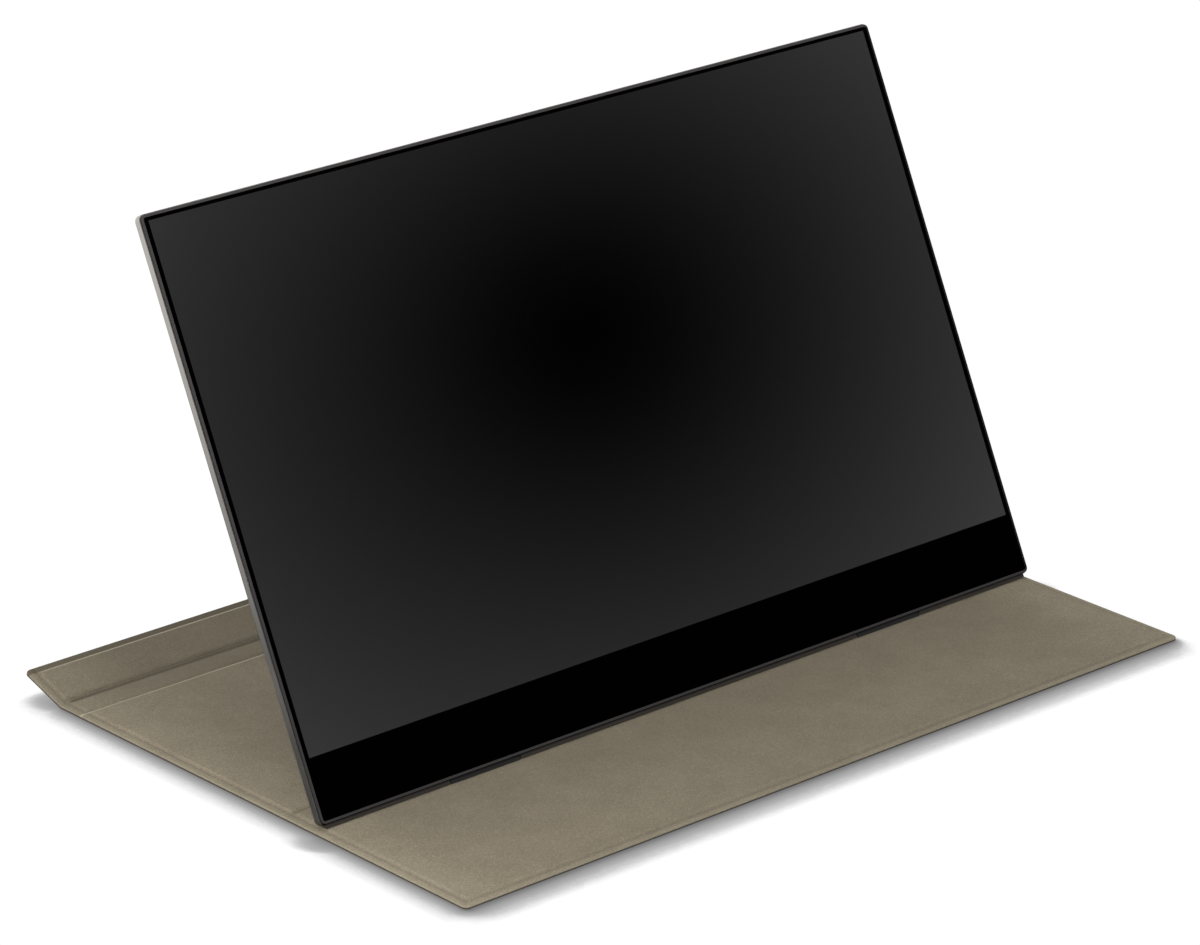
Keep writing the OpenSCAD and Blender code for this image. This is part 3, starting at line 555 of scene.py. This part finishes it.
@dataclass(frozen=True)
class ScreenGlass(Finish):
    """Bonded glass over a switched-off panel with a printed black border."""

    name: str
    border: Colour
    heart: Colour
    painted_reflection_grey: Colour
    heart_place: tuple[float, float] = (-2.6 * MM, 136.8 * MM)
    heart_reach: tuple[float, float] = (199.4 * MM, 141.0 * MM)
    edge_softness: float = 0.12 * MM
    left_fade: tuple[float, float] = (20 * MM, 172 * MM)

    def dress(self, shade: Shade) -> None:
        """Writes the border's mask and a painted reflection that turns grey towards the
        panel's edges.
        """
        plane = SCREEN.seen(shade)
        across, up, _ = shade.split(plane)
        middle = SCREEN.chin + SCREEN.picture_height / 2
        inside_x = SCREEN.picture_width / 2 - abs(across)
        inside_y = SCREEN.picture_height / 2 - abs(up - middle)
        inside = (inside_x.step(-self.edge_softness, self.edge_softness)
                  * inside_y.step(-self.edge_softness, self.edge_softness))
        # painted reflection: grey away from the middle, a little weaker on the left
        off_x = (across - self.heart_place[0]) / self.heart_reach[0]
        off_y = (up - self.heart_place[1]) / self.heart_reach[1]
        away = (off_x * off_x + off_y * off_y) ** 0.5
        left = (-1 * across).step(*self.left_fade)
        painted_reflection = ((away + 0.12) / 1.12) ** 2.24 / 1.5 * (1 - left * 0.2)
        smear = shade.noise(plane, 25, 3)
        panel = shade.mix(painted_reflection, self.heart, self.painted_reflection_grey)
        shade.set(Base_Color=shade.mix(inside, self.border, panel),
                  Roughness=0.07 + smear * 0.03, Specular_IOR_Level=0.05)


@dataclass(frozen=True)
class Lip(Finish):
    """The slim grey front lip, with painted shade on its outward wall, on its right side and
    towards the bottom.
    """

    name: str
    face: Colour
    wall: Colour
    wall_depth: float = 0.12 * MM
    side_width: float = 2 * MM
    side_full: float = 1.6 * MM
    high_fade: tuple[float, float] = (40 * MM, 150 * MM)

    def dress(self, shade: Shade) -> None:
        """Writes the fine grain, then painted shade on the outer wall, the right side and
        towards the bottom.
        """
        plane = SCREEN.seen(shade)
        across, up, out = shade.split(plane)
        grain = shade.noise(plane, 2400, 2)
        half_w, half_h = SCREEN.width / 2, SCREEN.height / 2
        # painted shade: the wall colour on the outer wall, on the right side and more of it
        # towards the bottom
        right = (across.step(half_w - self.side_width, half_w - self.side_full)
                 * (1 - abs(up - half_h).step(half_h - self.side_width, half_h - MM)))
        high = up.step(*self.high_fade) * 0.28 + 0.72
        face = out.step(-2 * self.wall_depth, -self.wall_depth) * (1 - right) * high
        shade.set(Base_Color=shade.mix(face * (0.85 + grain * 0.3), self.wall, self.face),
                  Roughness=0.42 + grain * 0.12, Specular_IOR_Level=0.25)
        shade.bump(grain, 0.000008, 0.5)


@dataclass(frozen=True)
class Circuit(Finish):
    """Solder mask with copper tracks running under it."""

    name: str
    mask: Colour
    track: Colour

    def dress(self, shade: Shade) -> None:
        """Writes tracks along both axes and small round vias."""
        plane = SCREEN.seen(shade)
        one = shade.noise(shade.place(SCREEN.foot, SCREEN.turn, (9, 1, 1)), 700, 0)
        two = shade.noise(shade.place(SCREEN.foot, SCREEN.turn, (1, 9, 1)), 700, 0)
        tracks = shade.math("MAXIMUM", one.step(0.56, 0.58), two.step(0.58, 0.6))
        vias = 1 - shade.cells(plane, 420).step(0.1, 0.14)
        lines = shade.math("MAXIMUM", tracks, vias)
        shade.set(Base_Color=shade.mix(lines, self.mask, self.track),
                  Roughness=0.38 - lines * 0.08)
        shade.bump(lines, 0.00002, 0.6)


@dataclass(frozen=True)
class Woven(Finish):
    """A fine open mesh of crossing threads."""

    name: str
    gap: Colour
    thread: Colour
    pitch: float = 0.45 * MM

    def dress(self, shade: Shade) -> None:
        """Writes the threads over and under each other."""
        plane = shade.place(SCREEN.foot, SCREEN.turn, (self.pitch,) * 3)
        across, up, _ = shade.split(plane)
        one = abs(shade.math("SINE", across * math.pi))
        two = abs(shade.math("SINE", up * math.pi))
        weave = shade.math("MAXIMUM", one, two)
        shade.set(Base_Color=shade.mix(weave.step(0.5, 0.9), self.gap, self.thread),
                  Roughness=0.8 - weave * 0.1)
        shade.bump(weave, 0.0001, 0.8)


@dataclass(frozen=True)
class DotSheet(Finish):
    """A clear or milky optical sheet with a print of fine dots."""

    name: str
    body: Colour
    dots: Colour
    pitch: float = 900.0
    clear: float = 0.0
    roughness: float = 0.2

    def dress(self, shade: Shade) -> None:
        """Writes the dot print."""
        print_ = 1 - shade.cells(SCREEN.seen(shade), self.pitch).step(0.2, 0.32)
        shade.set(Base_Color=shade.mix(print_, self.body, self.dots),
                  Roughness=self.roughness + print_ * 0.3,
                  Transmission_Weight=self.clear)


@dataclass(frozen=True)
class FlatCable(Finish):
    """A ribbon of parallel conductors."""

    name: str
    film: Colour
    wire: Colour
    pitch: float = 1.0 * MM

    def dress(self, shade: Shade) -> None:
        """Writes the conductors side by side."""
        across, _, _ = shade.split(shade.place(SCREEN.foot, SCREEN.turn))
        wave = shade.math("SINE", across * (2 * math.pi / self.pitch))
        lines = wave.step(-0.2, 0.3)
        shade.set(Base_Color=shade.mix(lines, self.film, self.wire),
                  Roughness=0.45 - lines * 0.1)
        shade.bump(lines, 0.00006, 0.7)


# ------------------------------------------------------------------ meshes


@dataclass(frozen=True)
class Outline:
    """A rounded rectangle at one height.

    Attributes:
        half_width: Half its width on X.
        low: Its lower end on Y.
        high: Its upper end on Y.
        r_low: The corner radius at the lower end.
        r_high: The corner radius at the upper end.
        height: Its height on Z.
    """

    half_width: float
    low: float
    high: float
    r_low: float
    r_high: float
    height: float

    def at(self, unit: Vector) -> Vector:
        """Finds the place that belongs to a point of the unit circle.

        Args:
            unit: The point on the circle.

        Returns:
            The same point, pulled out to the rounded rectangle.
        """
        radius = self.r_high if unit.y > 0 else self.r_low
        centre_y = self.high - radius if unit.y > 0 else self.low + radius
        centre_x = math.copysign(self.half_width - radius, unit.x)
        return Vector((centre_x + unit.x * radius, centre_y + unit.y * radius,
                       self.height))


class Mould:
    """A mesh in the making, out of bmesh operators."""

    def __init__(self, name: str) -> None:
        """Starts an empty mesh.

        Args:
            name: The name of the piece that it becomes.
        """
        self.name = name
        self.bm = bmesh.new()
        self.unit = self.bm.verts.layers.float_vector.new("unit")

    def begin(self, outline: Outline, segments: int = 40) -> Loop:
        """Makes a circle and pulls it out to the first outline.

        Args:
            outline: The rounded rectangle that the loop follows.
            segments: The circle's corners, a multiple of four.

        Returns:
            The loop's vertices.
        """
        turn = Matrix.Rotation(math.pi / segments, 4, "Z")
        loop = bmesh.ops.create_circle(self.bm, cap_ends=False, radius=1.0,
                                       segments=segments, matrix=turn)["verts"]
        for vert in loop:
            vert[self.unit] = vert.co
            vert.co = outline.at(vert[self.unit])
        return loop

    def grow(self, loop: Loop, *outlines: Outline) -> Loop:
        """Draws bands of faces out of a loop, through more outlines.

        Args:
            loop: The loop that the bands start from.
            outlines: The rounded rectangles that they pass, in order.

        Returns:
            The last loop's vertices.
        """
        for outline in outlines:
            made = bmesh.ops.extrude_edge_only(self.bm, edges=self.edges_of(loop))["geom"]
            loop = [part for part in made if isinstance(part, bmesh.types.BMVert)]
            for vert in loop:
                vert.co = outline.at(vert[self.unit])
        return loop

    def edges_of(self, loop: Loop) -> list[bmesh.types.BMEdge]:
        """Finds the edges that run round a loop."""
        inside = set(loop)
        return [edge for edge in {e for v in loop for e in v.link_edges}
                if edge.verts[0] in inside and edge.verts[1] in inside]

    def cap(self, loop: Loop) -> None:
        """Closes a loop with one face."""
        bmesh.ops.contextual_create(self.bm, geom=self.edges_of(loop))

    def slice(self, axis: Sequence[float], places: Sequence[float]) -> None:
        """Cuts the whole mesh across an axis without taking anything away.

        Args:
            axis: The direction across which it is cut.
            places: Where the cuts lie along it.
        """
        for place in places:
            bmesh.ops.bisect_plane(
                self.bm, geom=self.bm.verts[:] + self.bm.edges[:] + self.bm.faces[:],
                dist=WELD, plane_co=Vector(axis) * place, plane_no=axis)

    def move_each(self, rule: Callable[[Vector], Vector]) -> None:
        """Moves every vertex by a rule.

        Args:
            rule: Takes a place and gives the new one.
        """
        for vert in self.bm.verts:
            vert.co = rule(vert.co.copy())

    def piece(self, smooth_below: float = 35.0) -> bpy.types.Object:
        """Finishes the mesh and puts it into the scene.

        Args:
            smooth_below: Edges under this angle, in degrees, are shaded smooth.

        Returns:
            The new object, at the origin.
        """
        bmesh.ops.remove_doubles(self.bm, verts=self.bm.verts, dist=WELD)
        bmesh.ops.recalc_face_normals(self.bm, faces=self.bm.faces)
        mesh = bpy.data.meshes.new(self.name)
        self.bm.to_mesh(mesh)
        self.bm.free()
        mesh.shade_smooth()
        mesh.set_sharp_from_angle(angle=math.radians(smooth_below))
        obj = bpy.data.objects.new(self.name, mesh)
        bpy.context.scene.collection.objects.link(obj)
        return obj


# ------------------------------------------------------------------- cover


class Side(Enum):
    """Which face of the cover a sheet makes."""

    LINING = "lining"
    SKIN = "skin"


@dataclass(frozen=True)
class CoverLayers:
    """The heights and edges that all the cover's panels share."""

    width: float = 352 * MM
    skin: float = 0.7 * MM
    board: float = 0.8 * MM
    lining: float = 0.7 * MM
    margin: float = 3.3 * MM
    corner: float = 2.2 * MM
    field_corner: float = 2.5 * MM
    edge_round: float = 0.5 * MM
    skin_round: float = 0.3 * MM
    lining_lift: float = 0.01 * MM
    fold_corner: float = 0.02 * MM
    fold_field_corner: float = 0.4 * MM
    bend_cuts: int = 14
    slope: tuple[float, float] = (-0.6 * MM, 1.3 * MM)

    @property
    def edge_top(self) -> float:
        """The height of the margins and creases."""
        return self.skin + self.lining


LAYERS = CoverLayers()


@dataclass
class Panel:
    """One panel of the cover with the crease on its near side.

    Attributes:
        name: The panel's body.
        short: The start of its pieces' names.
        low: Its lower end on Y, past the crease.
        high: Its upper end on Y.
        crease: The crease's half width, or 0 where there is none.
        near: The body on the crease's other side; not used.
        free_low: Whether the lower end is a free edge of the cover.
        free_high: Whether the upper end is one.
        curl: How far the panel is lifted round its crease, in radians.
        dip: How far the crease's face sinks below the margins.
    """

    name: str
    short: str
    low: float
    high: float
    crease: float = 0.0
    near: str = ""
    free_low: bool = False
    free_high: bool = False
    curl: float = 0.0
    dip: float = 0.0

    @property
    def fold(self) -> float:
        """Where the crease's middle lies on Y."""
        return self.low - self.crease

    def curled(self, point: Vector) -> Vector:
        """Lifts a point of the flat panel as far as its crease has turned there."""
        share = min(1.0, max(0.0, (point.y - self.fold + self.crease)
                             / max(2 * self.crease, 1e-9)))
        share = share * share * (3 - 2 * share)
        centre = Vector((0, self.fold, LAYERS.skin))
        turn = Matrix.Rotation(self.curl * share, 3, "X")
        return centre + turn @ (point - centre)

    def outline(self, inset: float, height: float) -> Outline:
        """The panel's own outline, drawn in at its free edges."""
        free = max(LAYERS.corner - inset, 0.2 * MM)
        return Outline(
            LAYERS.width / 2 - inset,
            self.low - 2 * self.crease + (inset if self.free_low else 0),
            self.high - (inset if self.free_high else 0),
            free if self.free_low else LAYERS.fold_corner,
            free if self.free_high else LAYERS.fold_corner, height)

    def field(self, inset: float, height: float) -> Outline:
        """The raised field's outline, drawn in on every side.

        Args:
            inset: How far it is drawn in; at a fold never less than nothing.
            height: The outline's height.

        Returns:
            The outline.
        """
        margin = LAYERS.margin
        free = max(LAYERS.field_corner - inset, 0.3 * MM)
        folded = max(inset, LAYERS.fold_corner)
        return Outline(
            LAYERS.width / 2 - margin - inset,
            self.low + (margin + inset if self.free_low else folded),
            self.high - (margin + inset if self.free_high else folded),
            free if self.free_low else LAYERS.fold_field_corner,
            free if self.free_high else LAYERS.fold_field_corner, height)

    def rise(self, steps: int = 9) -> list[Outline]:
        """The soft slope from the margins up to the field."""
        start, end = LAYERS.slope
        shares = [step / steps for step in range(steps + 1)]
        return [self.field(start + (end - start) * share,
                           LAYERS.edge_top + LAYERS.board * share ** 2 * (3 - 2 * share))
                for share in shares]

    @staticmethod
    def rounding(radius: float, steps: int) -> list[tuple[float, float]]:
        """A quarter round from the wall to the top.

        Args:
            radius: The round's radius.
            steps: How many flats it is made of.

        Returns:
            How far each point is drawn in and how far it lies below the top.
        """
        turns = [math.pi / 2 * i / steps for i in range(steps + 1)]
        return [(radius * (1 - math.cos(turn)), radius * (1 - math.sin(turn)))
                for turn in turns]

    def sheet(self, side: Side) -> bpy.types.Object:
        """Builds one face of the panel.

        Args:
            side: The lining or the outer skin.

        Returns:
            The piece, where it lies at rest.
        """
        mould = Mould(f"{self.short}_{'suede' if side is Side.LINING else 'skin'}")
        if side is Side.LINING:
            self._lining(mould)
        else:
            self._skin(mould)
        if self.crease:
            cuts = LAYERS.bend_cuts
            mould.slice((0, 1, 0), [self.low - 2 * self.crease * i / cuts
                                    for i in range(cuts + 1)])
        if self.dip and side is Side.LINING:
            mould.move_each(self._dipped)
        if self.curl:
            mould.move_each(self.curled)
        return mould.piece()

    def _lining(self, mould: Mould) -> None:
        """Margin, rise and field on top, and the board's pocket below."""
        foot = LAYERS.skin + LAYERS.lining_lift
        base = mould.begin(self.outline(0, foot))
        top = mould.grow(
            base, *(self.outline(inset, LAYERS.edge_top - drop)
                    for inset, drop in self.rounding(LAYERS.edge_round, 5)),
            *self.rise())
        mould.cap(top)
        pocket = mould.grow(base, self.field(LAYERS.lining, foot),
                            self.field(LAYERS.lining, LAYERS.skin + LAYERS.board))
        mould.cap(pocket)

    def _skin(self, mould: Mould) -> None:
        """A thin sheet with softly rounded edges."""
        top = mould.begin(self.outline(0, LAYERS.skin))
        mould.cap(top)
        low = mould.grow(top, *(self.outline(inset, drop)
                                for inset, drop in self.rounding(LAYERS.skin_round, 4)))
        mould.cap(low)

    def _dipped(self, point: Vector) -> Vector:
        """Sinks or lifts the lining's face over the crease."""
        away = abs(point.y - self.fold) / self.crease
        if away < 1 and point.z > LAYERS.skin + 0.3 * MM:
            point.z -= self.dip * (math.cos(math.pi * away) + 1) / 2
        return point

    def build(self, suede: Finish, skin: Finish) -> None:
        """Makes and dresses the panel's two sheets; a panel without a crease is hung on its
        body.

        Args:
            suede: The lining's finish.
            skin: The outer skin's finish.
        """
        for side, finish, old in ((Side.LINING, suede, "lining"),
                                  (Side.SKIN, skin, "outer_skin")):
            obj = self.sheet(side)
            finish.onto(obj)
            if self.crease:
                start = Vector((0, self.fold - self.crease, LAYERS.skin))
                end = self.curled(Vector((0, self.fold + self.crease, LAYERS.skin)))
                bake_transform(obj)
            else:
                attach(obj, self.name)
            nodes = [f"{self.short}_{old}"]
            if self.crease and side is Side.LINING:
                nodes.append(f"{self.short}_crease")
            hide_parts(*nodes)
            self.high - self.low + 2 * self.crease
            log.info("%s: %d faces", obj.name, len(obj.data.polygons))


@dataclass
class Cover:
    """The folio cover's four panels, opened flat under the monitor."""

    front_low: float = -124.26 * MM
    mid_fold: float = -27.96 * MM
    spine_fold: float = 90.04 * MM
    rear_fold: float = 102.74 * MM
    rear_length: float = 22.4 * MM
    rear_curl: float = math.radians(18)
    mid_crease: float = 0.8 * MM
    spine_crease: float = 0.6 * MM
    rear_crease: float = 1.6 * MM

    def build(self) -> None:
        """Makes and dresses every panel."""
        # colours: dark and mid nap, pale tips with the painted highlight, and the painted
        # shade
        suede = Suede("brushed_suede", rgb(124, 115, 98), rgb(152, 143, 123),
                      rgb(190, 182, 161), rgb(84, 77, 66))
        skin = Leatherette("grained_cover_skin", rgb(58, 52, 45), rgb(84, 76, 66))
        panels = (
            Panel("front_panel", "front", self.front_low, self.mid_fold - self.mid_crease,
                  free_low=True),
            Panel("mid_panel", "mid", self.mid_fold + self.mid_crease,
                  self.spine_fold - self.spine_crease, self.mid_crease, "front_panel",
                  dip=0.15 * MM),
            Panel("spine", "spine", self.spine_fold + self.spine_crease,
                  self.rear_fold - self.rear_crease, self.spine_crease, "mid_panel"),
            Panel("rear_strip", "rear", self.rear_fold + self.rear_crease,
                  self.rear_fold + self.rear_length, self.rear_crease, "spine",
                  free_high=True, curl=self.rear_curl, dip=0.25 * MM),
        )
        for panel in panels:
            panel.build(suede, skin)


# ----------------------------------------------------------------- monitor


@dataclass
class Monitor:
    """The screen, its frame and the housing behind it."""

    def finishes(self) -> dict[str, tuple[Finish, tuple[str, ...]]]:
        """The finish of every carried-over node, by slot.

        Returns:
            For each slot its finish and the nodes that wear it.
        """
        black = rgb(1, 1, 1)
        return {
            # the grey is the screen's painted reflection
            "screen_glass": (ScreenGlass("screen_glass", black, black, rgb(62, 62, 62)),
                             ("cover_glass",)),
            # the lip's second colour is its painted shade
            "lip": (Lip("grey_lip", rgb(62, 60, 60), rgb(16, 15, 15)), ("mid_frame",)),
            "side_metal": (SideMetal("satin_side_metal", rgb(178, 175, 170),
                                     rgb(198, 195, 189), 0.3), ("side_frame",)),
            "back_metal": (SatinMetal("blasted_back_plate", rgb(92, 92, 94),
                                      rgb(112, 112, 114), 0.42), ("rear_cover",)),
            "housing": (Moulded("housing_plastic", rgb(34, 34, 36), rgb(46, 46, 48), 0.5),
                        ("base_housing",)),
            "heel": (Moulded("heel_strip_plastic", rgb(40, 36, 32), rgb(54, 49, 44), 0.6),
                     ("heel_strip",)),
            "foot_rubber": (Moulded("foot_rubber", rgb(22, 22, 22), rgb(34, 34, 34), 0.75,
                                    1200, 0.00004),
                            ("foot_left", "foot_right", "kickstand_foot")),
            "stand_metal": (SatinMetal("brushed_stand", rgb(84, 84, 86), rgb(110, 110, 112),
                                       0.34, 2200, (14, 1, 1)), ("kickstand_plate",)),
            "hinge_steel": (SatinMetal("hinge_steel", rgb(70, 70, 72), rgb(98, 98, 100),
                                       0.36),
                            ("hinge_bracket_left", "hinge_bracket_right",
                             "kickstand_knuckles")),
            "pin_steel": (SatinMetal("pin_steel", rgb(150, 150, 150), rgb(180, 180, 178),
                                     0.24),
                          ("hinge_pins", "hinge_screws", "housing_screws",
                           "board_screws")),
            "key_plastic": (Moulded("key_plastic", rgb(44, 44, 46), rgb(58, 58, 60), 0.42),
                            ("power_button", "menu_button")),
            "adhesive": (DotSheet("optical_adhesive", rgb(210, 215, 215),
                                  rgb(200, 205, 205), 500, 0.9, 0.05),
                         ("optical_adhesive",)),
            "panel_glass": (DotSheet("panel_glass", rgb(20, 22, 24), rgb(30, 33, 36), 3000,
                                     0.0, 0.1), ("lcd_cell",)),
            "film": (DotSheet("optical_films", rgb(214, 216, 214), rgb(232, 234, 232), 1400,
                              0.0, 0.35), ("film_stack", "light_guide", "reflector_sheet")),
            "tray_metal": (SatinMetal("tray_metal", rgb(150, 152, 150), rgb(174, 176, 174),
                                      0.36), ("backlight_tray",)),
            "circuit": (Circuit("circuit_board", rgb(16, 62, 42), rgb(34, 96, 62)),
                        ("led_bar", "panel_board", "main_board", "button_board")),
            "chips": (Moulded("chip_resin", rgb(24, 24, 26), rgb(36, 36, 38), 0.4, 2400),
                      ("board_parts",)),
            "flat_cable": (FlatCable("ribbon", rgb(196, 150, 70), rgb(150, 100, 40)),
                           ("panel_flex", "board_cable", "button_ribbon")),
            "copper": (SatinMetal("copper_spreader", rgb(176, 108, 74), rgb(200, 130, 92),
                                  0.28), ("heat_spreader",)),
            "socket_metal": (SatinMetal("socket_shell", rgb(168, 168, 166),
                                        rgb(192, 192, 190), 0.22),
                             ("usb_sockets", "video_socket")),
            "socket_plastic": (Moulded("socket_plastic", rgb(18, 18, 18), rgb(28, 28, 28),
                                       0.4), ("audio_socket",)),
            "speaker": (Moulded("speaker_case", rgb(26, 26, 28), rgb(40, 40, 42), 0.5),
                        ("speaker_left", "speaker_right")),
            "mesh": (Woven("speaker_cloth", rgb(8, 8, 8), rgb(46, 46, 48)),
                     ("speaker_mesh",)),
            "light_pipe": (DotSheet("light_pipe", rgb(226, 232, 236), rgb(200, 208, 214),
                                    1600, 0.4, 0.25), ("status_light",)),
            "magnet": (SatinMetal("nickel_magnets", rgb(150, 150, 154), rgb(176, 176, 180),
                                  0.2),
                       ("front_magnets", "rear_magnets", "closure_magnets")),
            "fibreboard": (Fibreboard("pressed_board", rgb(126, 106, 82),
                                      rgb(170, 150, 122)),
                           ("front_board", "mid_board", "spine_board", "rear_board")),
        }

    def build(self) -> None:
        """Dresses the carried-over nodes."""
        for slot, (finish, nodes) in self.finishes().items():
            finish.onto(*(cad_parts[node] for node in nodes))
            log.info("%s: %s", slot, ", ".join(nodes))


# ------------------------------------------------------------------ studio


@dataclass
class Studio:
    """Floor, world, cards, lamps and camera."""

    floor_half: float = 6.0
    floor_drop: float = 0.05 * MM
    contact_reach: float = 15 * MM
    contact_lean: tuple[float, float, float] = (0.47, 0.883, -0.3)
    contact_edge: tuple[float, float] = (0.49, 0.63)
    mirror_fade: tuple[float, float] = (0.17, 0.71)
    card_half: float = 0.7
    card_toward: tuple[float, float, float] = (-0.622, 0.719, -0.309)
    card_away: float = 1.6
    card_rise: float = 0.1
    lens: float = 166.084
    sensor: float = 36.0
    clip: tuple[float, float] = (0.05, 50.0)
    eye: tuple[float, float, float] = (-1.26501678, -1.40474387, 0.80801988)
    forward: tuple[float, float, float] = (0.62296178, 0.69406483, -0.36082217)
    right: tuple[float, float, float] = (0.74460711, -0.66750111, 0.0015873)

    def ray(self, shade: Shade, *kinds: str) -> Value:
        """1 for a ray of any of the kinds, such as Camera, and 0 for the rest."""
        path = shade.node("ShaderNodeLightPath")
        found = shade.value(path, f"Is {kinds[0]} Ray")
        for kind in kinds[1:]:
            found = shade.math("MAXIMUM", found, shade.value(path, f"Is {kind} Ray"))
        return found

    def floor(self) -> None:
        """A wide pale floor that keeps the object's contact shadow."""
        mould = Mould("floor")
        bmesh.ops.create_grid(mould.bm, x_segments=2, y_segments=2, size=self.floor_half)
        bmesh.ops.translate(mould.bm, verts=mould.bm.verts,
                            vec=(0, 0, -self.floor_drop))
        obj = mould.piece()
        shade = Shade(bpy.data.materials.new("pale_floor"))
        diffuse = shade.own("BSDF_PRINCIPLED").outputs[0]
        shade.set(Base_Color=(0.86, 0.86, 0.86, 1), Roughness=0.9, Specular_IOR_Level=0.0)
        lean = shade.node("ShaderNodeCombineXYZ", None,
                          dict(enumerate(self.contact_lean))).outputs[0]
        hidden = 1 - shade.value(shade.node(
            "ShaderNodeAmbientOcclusion", {"samples": 64},
            {"Distance": self.contact_reach, "Normal": lean}), "AO")
        lit = shade.math("POWER", 0.058, hidden ** 0.5)
        lit = (lit + (1 - lit) * lit.step(*self.contact_edge)) * 1.02
        # for gloss rays the floor is painted darker near the middle: a painted shade that
        # the metal sides mirror
        across, along, _ = shade.split(shade.place())
        away = (across * across + along * along) ** 0.5
        mirrored = away.step(*self.mirror_fade) * 0.94 + 0.05
        seen = shade.node("ShaderNodeEmission", None, {"Strength": lit})
        gloss = shade.node("ShaderNodeEmission", None, {"Strength": mirrored})
        first = shade.node("ShaderNodeMixShader", None,
                           {0: self.ray(shade, "Camera", "Transmission"), 1: diffuse,
                            2: seen.outputs[0]})
        second = shade.node("ShaderNodeMixShader", None,
                            {0: self.ray(shade, "Glossy"), 1: first.outputs[0],
                             2: gloss.outputs[0]})
        shade.feed(shade.own("OUTPUT_MATERIAL").inputs["Surface"], second.outputs[0])
        obj.data.materials.append(shade.owner)

    def card(self) -> None:
        """A black card that only gloss sees, where the screen would mirror the room."""
        mould = Mould("black_card")
        bmesh.ops.create_grid(mould.bm, x_segments=1, y_segments=1,
                              size=self.card_half)
        toward = Vector(self.card_toward).normalized()
        mould.move_each(lambda point: toward.to_track_quat("Z", "Y") @ point
                        - toward * self.card_away + Vector((0, 0, self.card_rise)))
        obj = mould.piece()
        shade = Shade(bpy.data.materials.new("black_card"))
        shade.set(Base_Color=(0, 0, 0, 1), Roughness=1.0, Specular_IOR_Level=0.0)
        obj.data.materials.append(shade.owner)
        obj.visible_camera = obj.visible_diffuse = obj.visible_shadow = False
        obj.visible_transmission = obj.visible_volume_scatter = False

    def world(self) -> None:
        """Plain light from all round, and white where it is seen."""
        world = bpy.data.worlds.new("studio")
        bpy.context.scene.world = world
        shade = Shade(world)
        seen = self.ray(shade, "Camera", "Glossy", "Transmission")
        background = shade.own("BACKGROUND")
        shade.feed(background.inputs["Color"], (1, 1, 1, 1))
        shade.feed(background.inputs["Strength"], 0.58 + seen * 0.42)

    def lamp(self, name: str, power: float, size: float, place: Sequence[float],
             aim: Sequence[float]) -> None:
        """Hangs one soft lamp.

        Args:
            name: The lamp's name.
            power: Its power in watts.
            size: The side of its square face.
            place: Where it hangs.
            aim: The point that it faces.
        """
        data = bpy.data.lights.new(name, "AREA")
        data.energy, data.size = power, size
        obj = bpy.data.objects.new(name, data)
        obj.location = place
        toward = Vector(aim) - Vector(place)
        obj.rotation_euler = toward.to_track_quat("-Z", "Y").to_euler()
        bpy.context.scene.collection.objects.link(obj)

    def camera(self) -> None:
        """The camera, at its place."""
        data = bpy.data.cameras.new("camera")
        data.lens, data.sensor_width = self.lens, self.sensor
        data.clip_start, data.clip_end = self.clip
        obj = bpy.data.objects.new("camera", data)
        right, forward = Vector(self.right), Vector(self.forward)
        up = right.cross(forward)
        turn = Matrix((right, up, -forward)).transposed()
        obj.matrix_world = Matrix.Translation(self.eye) @ turn.to_4x4()
        bpy.context.scene.collection.objects.link(obj)
        bpy.context.scene.camera = obj

    def build(self) -> None:
        """Makes the whole studio."""
        bpy.context.scene.view_settings.view_transform = "Standard"
        self.camera()
        self.floor()
        self.card()
        self.world()
        self.lamp("key", 17.5, 1.4, (-1.6, -0.7, 1.9), (0, 0, 0.05))
        self.lamp("near", 6, 0.5, (-1.0, -0.45, 0.75), (-0.1, -0.05, 0.0))
        self.lamp("fill", 4.5, 1.6, (0.4, -1.9, 1.7), (0, 0, 0.05))


def main() -> None:
    """Builds the studio, the cover and the monitor, in that order."""
    logging.basicConfig(level=logging.INFO, format="%(name)s: %(message)s")
    Studio().build()
    Cover().build()
    Monitor().build()


if __name__ == "__main__":
    main()
